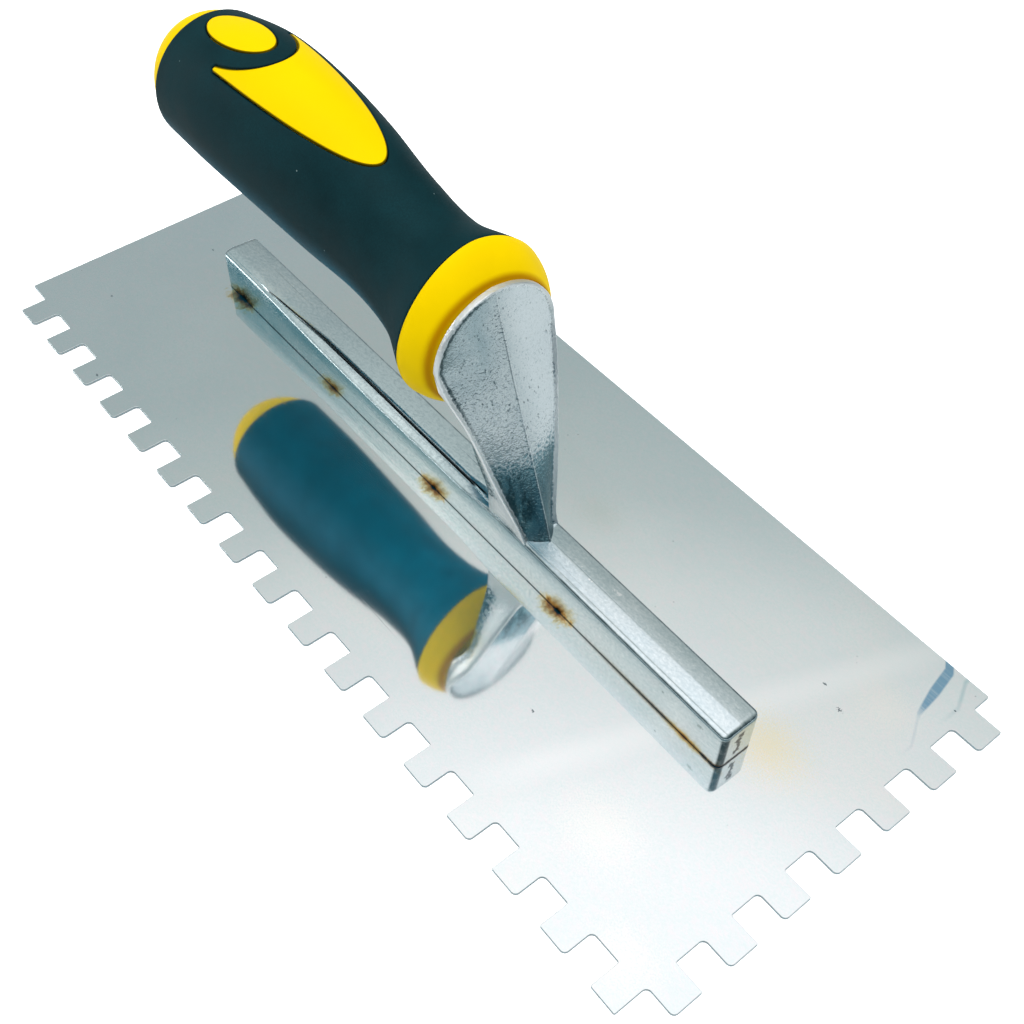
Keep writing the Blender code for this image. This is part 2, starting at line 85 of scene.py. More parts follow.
# Neck
HEAD_BACK = 16.6
HEAD_CENTRE_Z = 63.9
HEAD_HALF_WIDTH = 16.8
HEAD_HALF_HEIGHT = 16.1
HEAD_EDGE_X = 18.5               # the head's side edge at its centre height
LEAN_START_Z = 20.0
LEAN_END_Z = 58.0
BOLT_AXIS_Z = 68.0
# X and radius along the tang, with its rounded rear end
TANG_STEPS = ((-25.9, 5.6), (-25.6, 6.4), (-24.9, 6.9), (HEAD_BACK + 1.0, 7.0))

# Weld spots along the bar's near seam: X, half length, half width, strength
WELD_SPOTS = (
    (-96.0, 8.5, 4.8, 1.0),
    (-49.0, 6.5, 3.5, 0.62),
    (-1.0, 7.5, 3.9, 0.75),
    (49.0, 7.5, 3.9, 0.9),
    (94.0, 10.0, 1.6, 0.44),
)

# Marks on the bar: X, Y, Z, reach along each axis, colour
BAR_MARKS = (
    (98.3, -4.7, 10.1, (1.4, 0.6, 0.9), (0.40, 0.47, 0.47)),
    (86.4, -4.7, 9.6, (0.7, 0.6, 0.4), (0.30, 0.36, 0.36)),
    (54.7, 0.6, 14.6, (1.6, 0.6, 1.0), (0.98, 0.98, 0.98)),
    (61.5, 3.5, 14.4, (1.8, 0.8, 1.0), (0.98, 0.98, 0.98)),
    (50.8, 1.8, 14.6, (1.2, 0.5, 1.0), (0.98, 0.98, 0.98)),
)

# Small dark flecks on the blade: X, Y, radius
FLECKS = (
    (-93.4, -54.6, 0.45),
    (-120.8, -35.2, 0.4),
    (-120.7, -0.3, 0.35),
    (68.0, -27.5, 0.4),
    (112.2, 28.8, 0.6),
    (105.2, 31.4, 0.4),
    (129.1, 49.8, 0.3),
)

# Soft stains and painted glints on the blade: X, Y, radius, strength, colour
STAINS_AND_GLINTS = (
    (108.5, 9.0, 13.0, 0.7, (0.92, 0.78, 0.48)),
    (100.0, -35.0, 15.0, 0.45, (1.0, 0.93, 0.85)),
    (124.0, -50.0, 12.0, 0.4, (1.0, 0.92, 0.84)),
    (118.5, 38.0, 12.0, 0.35, (1.0, 0.90, 0.80)),
    (33.0, 24.0, 10.0, 0.3, (0.66, 0.66, 0.56)),
)

# Handle skin: station X, centre height, half width, half height, fullness (2 is an ellipse)
RING_X = 8.1
HANDLE_STATIONS = (
    (RING_X, 64.3, 20.9, 22.1, 1.82),
    (-4.0, 65.9, 15.9, 18.1, 1.92),
    (-20.0, 69.1, 14.7, 18.3, 2.0),
    (-40.0, 71.9, 16.6, 20.5, 2.0),
    (-60.0, 73.6, 18.1, 21.1, 2.0),
    (-80.0, 73.8, 19.0, 20.2, 2.0),
    (-100.0, 71.7, 18.0, 18.0, 2.0),
)
BUTT_X = -116.0
BUTT_FULLNESS = 1.64             # of the dome's profile
BUTT_STEP = 1.0                  # the dome is this much slimmer than the grip
BUTT_RISE = 0.75                 # its tip lies this far above the last station's centre
GRIP_REAR = HANDLE_STATIONS[-1][0] + 0.5 * GAP
CAP_FRONT = HANDLE_STATIONS[-1][0] - 0.5 * GAP
GRIP_WALL = 2.6
GRIP_LIP = 0.45                  # rounding of the grip's edges
CORE_LIP = 0.35                  # rounding of the edges of the collar, islands and cap
GRIP_GRID = 1.5                  # spacing of the grip's mesh
EDGE_STEPS = (0.08, 0.18, 0.3, 0.45, 0.75, 1.2)      # rows of points beside an outline
END_STEPS = (0.0, 0.08, 0.2, 0.35, 0.6, 1.0)         # rows of points at the grip's ends
OUTLINE_CLEAR = 1.6              # the plain grid keeps this far from an outline
END_RUN = 1.4                    # the plain grid starts this far from the grip's ends
MEAN_RADIUS = 19.0               # turns an angle round the handle into an arc length
SEAM_ARC = math.pi * MEAN_RADIUS
SEAM_SLACK = 0.001

COLLAR_FRONT = 16.3
# Centre height, half width, half height and fullness of the collar's front
COLLAR_FRONT_SIZE = np.array((63.5, 16.8, 15.5, 2.0))

# Islands on top of the handle, as outlines seen from above
ISLAND_Y = -0.5
OVAL_CENTRE_X = -81.8
OVAL_HALF_LENGTH = 13.4
OVAL_HALF_WIDTH = 6.2
LEAF_REAR_X = -78.0
LEAF_LENGTH = 54.4
LEAF_HALF_WIDTH = 11.8
LEAF_TIP = 1.2                   # where the bite starts, in front of the leaf's rear
# Oval bite out of the leaf's broad end, round the oval's centre
CRESCENT_HALF_LENGTH = 19.0
CRESCENT_HALF_WIDTH = 11.0

# Floor: half its side and its depth under the blade, in metres, and its glow to the camera
FLOOR_REACH = 6.0
FLOOR_DROP = 0.00005
FLOOR_GLOW = 0.6

# World colours by height of direction: below, above, and between them on either side
LOW_STOPS = (
    (0.0, (0.05, 0.10, 0.127)),
    (0.36, (0.05, 0.10, 0.127)),
)
FAR_STOPS = (
    (0.46, (0.25, 0.30, 0.31)),
    (0.55, (0.40, 0.44, 0.44)),
    (0.62, (0.42, 0.465, 0.463)),
    (0.70, (0.44, 0.495, 0.49)),
    (0.76, (0.55, 0.60, 0.59)),
    (0.80, (0.75, 0.78, 0.77)),
    (0.85, (0.90, 0.92, 0.93)),
)
NEAR_STOPS = (
    (0.55, (0.10, 0.20, 0.23)),
    (0.66, (0.12, 0.25, 0.27)),
    (0.69, (0.25, 0.36, 0.37)),
    (0.73, (0.58, 0.64, 0.64)),
    (0.775, (1.05, 1.05, 1.03)),
    (0.85, (1.05, 1.05, 1.03)),
)
HIGH_STOPS = (
    (0.90, (1.16, 1.17, 1.20)),
    (1.0, (1.30, 1.31, 1.34)),
)

# Area lights: name, place, aim, size, power, whether mirrors show them
PANELS = (
    ("key", (-0.35, -0.25, 1.25), (0.0, 0.0, 0.05), (1.1, 1.1), 11.0, False),
    ("fill", (0.9, 0.5, 0.9), (0.0, 0.0, 0.05), (0.9, 0.7), 6.0, False),
    ("rim", (-1.0, -0.75, 0.5), (-0.06, 0.0, 0.08), (0.5, 0.3), 2.2, True),
)

CAMERA_LENS = 46.4004
CAMERA_SHIFT = (0.014577, -0.00024)
CAMERA_ROWS = (
    (0.6247524, -0.6077139, 0.4902737, 0.18502),
    (0.7807520, 0.4777378, -0.4027318, -0.13543),
    (0.0105234, 0.6343899, 0.7729416, 0.26715),
    (0.0, 0.0, 0.0, 1.0),
)


# ---------------------------------------------------------------- mesh helpers

def link(name, data):
    """New object in the scene for a mesh, curve, light or camera."""
    thing = bpy.data.objects.new(name, data)
    bpy.context.scene.collection.objects.link(thing)
    return thing


def weld(mesh, degenerate=True):
    """Merge vertices that coincide and turn the faces outwards."""
    work = bmesh.new()
    work.from_mesh(mesh)
    bmesh.ops.remove_doubles(work, verts=work.verts, dist=0.002 * MM)
    if degenerate:
        bmesh.ops.dissolve_degenerate(work, edges=work.edges, dist=0.001 * MM)
    bmesh.ops.recalc_face_normals(work, faces=work.faces)
    work.to_mesh(mesh)
    work.free()
    mesh.shade_smooth()


def make_object(name, shape, material, sharp=40.0):
    """Welded mesh object from (vertices, faces) round the mount's middle."""
    vertices, faces = shape
    mesh = bpy.data.meshes.new(name)
    points = [((x + MIDDLE_X) * MM, (y + MIDDLE_Y) * MM, z * MM) for x, y, z in vertices]
    mesh.from_pydata(points, [], faces)
    weld(mesh)
    mesh.materials.append(material)
    mesh.set_sharp_from_angle(angle=math.radians(sharp))
    for face in mesh.polygons:
        if face.loop_total > 8:
            face.use_smooth = False
    return link(name, mesh)


def stands_for(thing, node):
    """Put a piece on the root body in place of a CAD node."""
    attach(thing, "root")
    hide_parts(node)


def quarter_turn(steps):
    """Angles from 0 to a quarter turn."""
    return [0.5 * math.pi * step / steps for step in range(steps + 1)]


def oval_ring(x, centre_z, half_width, half_height, fullness, count=96):
    """Upright ring of an oval; a fullness of 2 makes it an ellipse."""
    ring = []
    for index in range(count):
        angle = 2.0 * math.pi * index / count
        across = signed_power(math.cos(angle), 2.0 / fullness)
        upwards = signed_power(math.sin(angle), 2.0 / fullness)
        ring.append((x, half_width * across, centre_z + half_height * upwards))
    return ring


def signed_power(value, power):
    """Power of a number that keeps its sign."""
    return math.copysign(abs(value) ** power, value)


def loft(rings):
    """Join rings of equal length with quads and cap the ends."""
    count = len(rings[0])
    vertices = [point for ring in rings for point in ring]
    last = len(vertices) - count
    faces = []
    for below in range(0, last, count):
        above = below + count
        for index in range(count):
            after = (index + 1) % count
            faces.append((below + index, below + after, above + after, above + index))
    return vertices, faces + [tuple(range(count)), tuple(range(last, len(vertices)))]


# ---------------------------------------------------------------- materials

def in_turn(operation):
    """Method that does the same arithmetic on a row of values, from left to right."""
    def method(self, result, *others):
        for value in others:
            result = self.math(operation, result, value)
        return result
    return method


class Nodes:
    """Short way to write the node tree of a material or of the world."""

    times = in_turn("MULTIPLY")
    plus = in_turn("ADD")
    most = in_turn("MAXIMUM")
    minus = in_turn("SUBTRACT")
    over = in_turn("DIVIDE")

    def __init__(self, owner):
        owner.use_nodes = True
        self.tree = owner.node_tree

    def put(self, value, socket):
        """Link an output, or set a plain value."""
        if isinstance(value, bpy.types.NodeSocket):
            self.tree.links.new(value, socket)
        elif socket.type == "RGBA":
            socket.default_value = (*value, 1.0)
        else:
            socket.default_value = value

    def add(self, kind, inputs, **settings):
        """Outputs of a new node, with its inputs linked or set and its properties set."""
        node = self.tree.nodes.new(kind)
        for key, value in settings.items():
            setattr(node, key, value)
        for key, value in inputs.items():
            self.put(value, node.inputs[key])
        return node.outputs

    def axis(self, vector, number):
        """One part of a vector: 0 is X, 1 is Y, 2 is Z."""
        return self.add("ShaderNodeSeparateXYZ", {0: vector})[number]

    def math(self, operation, *values):
        """Arithmetic on one to three values."""
        return self.add("ShaderNodeMath", dict(enumerate(values)), operation=operation)[0]

    def absolute(self, value):
        """A value without its sign."""
        return self.math("ABSOLUTE", value)

    def squares(self, first, second):
        """Sum of the squares of two values."""
        return self.plus(self.times(first, first), self.times(second, second))

    def span(self, value, low, high, out_low=0.0, out_high=1.0, smooth=False):
        """Map a value from one range to another, clamped."""
        inputs = dict(enumerate((value, low, high, out_low, out_high)))
        steps = "SMOOTHSTEP" if smooth else "LINEAR"
        return self.add("ShaderNodeMapRange", inputs, interpolation_type=steps)["Result"]

    def fall(self, value, low, high, smooth=False):
        """Fall from 1 to 0 between two values, clamped."""
        return self.span(value, low, high, 1.0, 0.0, smooth)

    def spread(self, noise, low, high):
        """Map a noise value from its usual range to another, clamped."""
        return self.span(noise, 0.3, 0.7, low, high)

    def mix(self, share, first, second):
        """Mix two colours; the node's colour sockets are inputs 6 and 7 and output 2."""
        inputs = {"Factor": share, 6: first, 7: second}
        return self.add("ShaderNodeMix", inputs, data_type="RGBA")[2]


class Surface(Nodes):
    """Material on a Principled shader, worked out from object coordinates."""

    def __init__(self, name):
        self.material = bpy.data.materials.new(name)
        super().__init__(self.material)
        self.place = self.add("ShaderNodeTexCoord", {})["Object"]
        self.colour = (1.0, 1.0, 1.0)

    def coat(self, share, colour):
        """Lay a colour over the colour so far, by a share."""
        self.colour = self.mix(share, self.colour, colour)

    def coats(self, *rows):
        """Lay several coats, each given as a share and a colour."""
        for share, colour in rows:
            self.coat(share, colour)

    def finish(self, rough, others):
        """Wire up the shader, set its other inputs and give back the material."""
        shader = self.tree.nodes["Principled BSDF"]
        for name, value in {"Base Color": self.colour, "Roughness": rough, **others}.items():
            self.put(value, shader.inputs[name])
        return self.material

    def pattern(self, kind, output, stretch, shift, **inputs):
        """Pattern on the object coordinates in metres, stretched along each axis and shifted."""
        mapping = {"Vector": self.place, "Scale": stretch, "Location": shift}
        inputs["Vector"] = self.add("ShaderNodeMapping", mapping)["Vector"]
        return self.add(kind, inputs)[output]

    def noise(self, scale, detail=3.0, roughness=0.5, distortion=0.0,
              stretch=(1.0, 1.0, 1.0), shift=(0.0, 0.0, 0.0)):
        """Noise value."""
        return self.pattern("ShaderNodeTexNoise", "Fac", stretch, shift, Scale=scale,
                            Detail=detail, Roughness=roughness, Distortion=distortion)

    def dots(self, scale, inner, outer):
        """1 on small scattered dots: within a share of their spacing, fading to 0 at another."""
        away = self.pattern("ShaderNodeTexVoronoi", "Distance", (1.0, 1.0, 1.0),
                            (0.0, 0.0, 0.0), Scale=scale)
        return self.fall(away, inner, outer)

    def facing(self, number):
        """One part of the surface's world normal: 0 is X, 1 is Y, 2 is Z."""
        return self.axis(self.add("ShaderNodeNewGeometry", {})["Normal"], number)

    def bumps(self, *rows):
        """Bumps over each other: a height from 0 to 1, its size in metres, and a strength."""
        below = {}
        for height, distance, strength in rows:
            inputs = {"Height": height, "Distance": distance, "Strength": strength, **below}
            below = {"Normal": self.add("ShaderNodeBump", inputs)["Normal"]}
        return below["Normal"]

    def blob(self, centre, reach, tear):
        """Falls from 1 at a centre to 0 at a reach for each axis, in millimetres, torn by noise."""
        vector = self.place
        for operation, values in (("SUBTRACT", centre), ("DIVIDE", reach)):
            inputs = {0: vector, 1: tuple(MM * value for value in values)}
            vector = self.add("ShaderNodeVectorMath", inputs, operation=operation)[0]
        length = self.add("ShaderNodeVectorMath", {0: vector}, operation="LENGTH")["Value"]
        return self.fall(self.plus(length, tear), 0.0, 1.0, smooth=True)

    def weld_heat(self):
        """Heat round the weld spots: 1 at a spot's middle, falling to 0, torn into streaks."""
        streaks = self.noise(430.0, 4.0, 0.68, stretch=(1.3, 0.7, 0.7))
        tear = self.spread(streaks, -0.27, 0.27)
        heat = None
        for x, half_length, half_width, strength in WELD_SPOTS:
            centre = (x + MIDDLE_X, MIDDLE_Y - BAR_HALF_WIDTH, BLADE_TOP)
            spot = self.blob(centre, (half_length, half_width, half_width), tear)
            width = 0.6 + 1.3 * strength * strength
            core = self.blob(centre, (0.55 * half_length, width, width), tear)
            spot = self.most(self.times(spot, 0.66 * strength), self.times(core, strength))
            heat = spot if heat is None else self.most(heat, spot)
        return heat

    def heat_colours(self):
        """Tint the colour from straw through brown to nearly black by the weld heat."""
        heat = self.weld_heat()
        self.coats(
            (self.span(heat, 0.02, 0.2, 0.0, 0.7), (0.78, 0.60, 0.24)),
            (self.span(heat, 0.16, 0.42, 0.0, 0.9), (0.36, 0.19, 0.04)),
            (self.span(heat, 0.42, 0.7), (0.03, 0.022, 0.018)))

    def near_oval(self, centre, half_length, half_width):
        """1 within a fine line along the plan outline of an oval on the handle."""
        along = self.over(self.minus(self.part_of(0), centre + MIDDLE_X), half_length)
        across = self.over(self.minus(self.part_of(1), ISLAND_Y + MIDDLE_Y), half_width)
        total = self.squares(along, across)
        slope = self.squares(self.over(along, half_length), self.over(across, half_width))
        slope = self.times(self.math("SQRT", slope), 2.0)
        away = self.absolute(self.over(self.minus(total, 1.0), slope))
        return self.fall(away, 0.2, 0.44)

    def island_gap_shade(self):
        """Painted shade along the outlines of the oval and the leaf on top of the handle, at their
        gap.
        """
        return self.times(
            self.most(
                self.near_oval(OVAL_CENTRE_X, OVAL_HALF_LENGTH, OVAL_HALF_WIDTH),
                self.near_oval(LEAF_REAR_X, LEAF_LENGTH, LEAF_HALF_WIDTH),
                self.near_oval(OVAL_CENTRE_X, CRESCENT_HALF_LENGTH, CRESCENT_HALF_WIDTH)),
            self.fall(self.part_of(0), -22.0, -20.0),
            self.span(self.part_of(2), 78.0, 82.0, 0.0, 0.9))

    def neck_grime_and_shade(self):
        """Grime and painted contact shadow where the neck's head meets the collar."""
        up = self.part_of(2)
        lean = self.span(up, LEAN_START_Z, LEAN_END_Z, MIDDLE_Y, MIDDLE_Y + HEAD_LEAN)
        aside = self.over(self.minus(self.part_of(1), lean), HEAD_HALF_WIDTH)
        rise = self.over(self.minus(up, HEAD_CENTRE_Z), HEAD_HALF_HEIGHT)
        away = self.math("SQRT", self.squares(aside, rise))
        return self.times(self.near_line(away, 1.0, 0.09),
                          self.span(self.part_of(0), 13.0, 15.5, 0.0, 0.9))

    def part_of(self, axis):
        """One of the object coordinates in millimetres: 0 is X, 1 is Y, 2 is Z."""
        return self.times(self.axis(self.place, axis), 1.0 / MM)

    def near_line(self, value, middle, half_width):
        """1 on a line where two values agree, falling to 0 at a half width."""
        away = self.absolute(self.minus(value, middle))
        return self.fall(away, 0.0, half_width, smooth=True)


def stainless():
    """Bright rolled sheet: fine X brushing, blotches, scratches, stains, weld heat, painted light
    and shade.
    """
    n = Surface("stainless_sheet")
    brush = n.noise(1.0, 4.0, 0.65, stretch=(30.0, 2600.0, 30.0))
    fine = n.noise(1.0, 2.0, 0.6, stretch=(90.0, 9000.0, 90.0))
    blotch = n.noise(26.0, 4.0, 0.6, 0.4)
    scratch = n.noise(1.0, 1.0, 0.4, stretch=(9.0, 1500.0, 9.0))
    scratch = n.span(scratch, 0.72, 0.8)
    cross = n.noise(1.0, 1.0, 0.4, stretch=(700.0, 24.0, 9.0), shift=(0.3, 0.1, 0.0))
    cross = n.span(cross, 0.76, 0.82)
    patch = n.noise(55.0, 2.0, shift=(0.2, 0.7, 0.0))
    specks = n.times(n.dots(260.0, 0.03, 0.06), n.span(patch, 0.56, 0.62, 0.0, 0.5))
    tear = n.noise(2600.0, 2.0, shift=(0.0, 0.4, 0.0))
    tear = n.spread(tear, -0.5, 0.5)
    for x, y, radius in FLECKS:
        fleck = n.blob((x, y, BLADE_TOP), (2.0 * radius, 1.2 * radius, 1.0), tear)
        specks = n.most(specks, n.span(fleck, 0.3, 0.7))
    n.colour = n.mix(n.span(blotch, 0.35, 0.65), (0.815, 0.81, 0.795), (0.865, 0.85, 0.83))
    warm = n.noise(14.0, 3.0, 0.55, 0.8, shift=(0.5, 0.2, 0.0))
    n.coat(n.span(warm, 0.58, 0.74, 0.0, 0.6), (0.90, 0.83, 0.765))
    speckle = n.noise(1700.0, 2.0, 0.7, stretch=(1.0, 1.4, 1.0), shift=(0.6, 0.0, 0.0))
    n.coat(n.span(speckle, 0.35, 0.65, 0.0, 0.5), (0.72, 0.81, 0.775))
    rosy = n.noise(330.0, 4.0, 0.7, stretch=(1.0, 1.6, 1.0), shift=(0.9, 0.3, 0.0))
    n.coat(n.span(rosy, 0.48, 0.68, 0.0, 0.5), (0.90, 0.81, 0.80))
    along = n.part_of(0)
    across = n.part_of(1)
    # Painted highlight: a soft light band running slantwise over the blade's near front part.
    highlight_band = n.math("MULTIPLY_ADD", across, -0.38, along)
    highlight_band = n.times(n.near_line(highlight_band, 92.8, 7.0), n.span(across, -55.0, -35.0, 0.0, 0.5))
    n.coat(highlight_band, (0.97, 0.94, 0.91))
    # Soft blobs: the pale cream ones are painted glints, the darker ones stains.
    for x, y, radius, share, colour in STAINS_AND_GLINTS:
        stain_and_glint = n.blob((x, y, BLADE_TOP), (radius, 0.8 * radius, 4.0), tear)
        n.coat(n.times(stain_and_glint, share), colour)
    curve = n.plus(
        n.span(across, 42.5, 57.3, 124.3, 121.3),
        n.span(across, 34.6, 42.5, 4.5, 0.0),
        n.span(across, 57.3, 59.2, 0.0, -1.4))
    streak = n.absolute(n.minus(along, curve))
    streak = n.minus(streak, n.span(across, 41.0, 50.0, 0.4, 1.3))
    streak = n.times(
        n.fall(streak, -0.3, 0.2),
        n.most(n.span(across, 41.0, 45.0, 0.0, 0.8), n.span(across, 31.0, 36.0, 0.0, 0.15)),
        n.span(brush, 0.3, 0.5, 0.6, 1.0))
    n.coat(streak, (0.10, 0.27, 0.42))
    second = n.times(
        n.near_line(along, n.span(across, 50.9, 58.1, 129.1, 125.6), 0.9),
        n.span(across, 44.0, 54.0, 0.0, 0.4))
    n.coat(second, (0.28, 0.48, 0.50))
    seam = n.times(
        n.near_line(across, MIDDLE_Y - BAR_HALF_WIDTH - 0.1, 1.0),
        n.span(along, 50.0, 85.0, 0.0, 0.55, smooth=True),
        n.fall(along, 106.0, 107.5))
    n.coats(
        (seam, (0.50, 0.34, 0.12)),
        (n.times(scratch, 0.1), (0.5, 0.53, 0.54)),
        (n.times(specks, 0.85), (0.14, 0.14, 0.13)))
    n.heat_colours()
    # Painted shade: the sheet's steep cut edges are darkened to a grey line.
    cut = n.span(n.absolute(n.facing(2)), 0.35, 0.8, 0.55, 0.0)
    n.coat(cut, (0.24, 0.30, 0.32))
    rough = n.plus(
        n.span(brush, 0.25, 0.75, 0.03, 0.06),
        n.spread(blotch, 0.0, 0.02),
        n.times(specks, 0.3))
    wave = n.noise(11.0, 1.0, shift=(0.1, 0.3, 0.0))
    normal = n.bumps(
        (wave, 0.00012, 1.0),
        (brush, 0.0000004, 1.0),
        (fine, 0.00000012, 1.0),
        (n.most(scratch, n.times(cross, 0.6)), -0.000002, 0.8))
    return n.finish(rough, {
        "Metallic": 1.0, "Sheen Weight": 0.11, "Sheen Tint": (0.0, 0.6, 1.0),
        "Sheen Roughness": 1.0, "Normal": normal})


def bar_metal():
    """Bright plated bar: long scratches, painted shade in the groove, soft blotches and weld heat.
    """
    n = Surface("bar_plated")
    grain = n.noise(900.0, 3.0, 0.6)
    blotch = n.noise(140.0, 4.0, 0.6, stretch=(0.5, 1.0, 1.0))
    line = n.noise(1.0, 2.0, 0.5, stretch=(16.0, 1500.0, 1100.0))
    scratch = n.span(line, 0.67, 0.75)
    n.colour = n.mix(n.span(blotch, 0.3, 0.7), (0.60, 0.725, 0.77), (0.81, 0.875, 0.885))
    along = n.minus(n.part_of(0), MIDDLE_X)
    across = n.minus(n.part_of(1), MIDDLE_Y)
    up = n.part_of(2)
    pale = n.times(n.span(along, -60.0, -35.0, 0.35, 0.95), n.fall(along, 0.0, 28.0))
    frost = n.noise(1500.0, 3.0, 0.65, stretch=(0.6, 1.0, 1.0), shift=(0.0, 0.5, 0.0))
    n.coats(
        (n.times(scratch, 0.5), (0.20, 0.26, 0.29)),
        (pale, (0.87, 0.98, 1.0)),
        (n.span(along, 25.0, 60.0, 0.0, 0.6), (0.66, 0.715, 0.725)),
        (n.span(frost, 0.44, 0.66, 0.0, 0.32), (0.38, 0.49, 0.53)),
        (n.span(frost, 0.44, 0.3, 0.0, 0.32), (0.95, 1.0, 1.0)))
    wobble = n.spread(n.noise(420.0, 3.0, 0.65, shift=(0.2, 0.0, 0.5)), -1.1, 1.1)
    flash = n.times(
        n.span(n.near_line(n.plus(across, wobble), -0.1, 1.5), 0.35, 0.6),
        n.span(along, 104.2, 104.6),
        n.span(up, 2.4, 3.4),
        n.fall(up, 11.0, 11.8))
    # Painted shade: a near-black line along the groove behind the neck.
    track = n.span(along, -86.0, -54.0, -4.6, -2.72)
    groove = n.times(
        n.near_line(across, track, 0.42),
        n.span(along, -88.0, -74.0),
        n.fall(along, 16.0, 20.0),
        n.span(up, 11.5, 12.0),
        n.span(blotch, 0.28, 0.4, 0.6, 1.0))
    n.coat(n.span(groove, 0.25, 0.7), (0.02, 0.03, 0.035))
    worn = n.noise(420.0, 3.0, 0.7, stretch=(0.35, 1.0, 1.0), shift=(0.7, 0.0, 0.0))
    rims = n.most(n.near_line(across, 0.35 - BAR_HALF_WIDTH, 0.4),
                  n.near_line(across, BAR_HALF_WIDTH - 0.35, 0.45))
    rims = n.times(rims, n.span(up, 11.0, 11.8))
    rims = n.most(rims, n.near_line(along, BAR_FRONT - 0.5, 0.7))
    rims = n.times(
        rims,
        n.span(up, 10.4, 11.6),
        n.span(along, -75.0, -30.0, 0.1, 1.0),
        n.span(worn, 0.36, 0.6, 0.2, 0.85))
    n.coat(rims, (0.07, 0.13, 0.145))
    corner = n.plus(along, across, BAR_HALF_WIDTH - BAR_FRONT - 0.5)
    corner = n.times(
        n.fall(n.absolute(corner), 1.0, 1.7),
        n.span(along, 102.4, 103.0),
        n.fall(across, -3.4, -3.0),
        n.fall(up, 12.0, 12.5),
        n.span(worn, 0.3, 0.5, 0.8, 1.0))
    n.coats((corner, (0.02, 0.05, 0.058)), (flash, (0.008, 0.016, 0.02)))
    tear = n.spread(n.noise(1500.0, 3.0), -0.6, 0.6)
    for x, y, z, reach, colour in BAR_MARKS:
        mark = n.blob((x, y, z), reach, tear)
        n.coat(n.span(mark, 0.25, 0.5), colour)
    foot = n.fall(n.math("MULTIPLY_ADD", tear, 0.4, up), BAR_BOTTOM + 0.25, BAR_BOTTOM + 0.9)
    foot = n.times(foot, n.span(along, 55.0, 98.0, 0.15, 0.95))
    n.coat(foot, (0.05, 0.03, 0.015))
    n.heat_colours()
    rough = n.plus(n.spread(blotch, 0.13, 0.24), n.times(grain, 0.06))
    normal = n.bumps(
        (grain, 0.000014, 1.0), (blotch, 0.00006, 1.0), (worn, 0.00002, 1.0),
        (scratch, -0.00003, 0.9))
    return n.finish(rough, {"Metallic": 1.0, "Normal": normal})


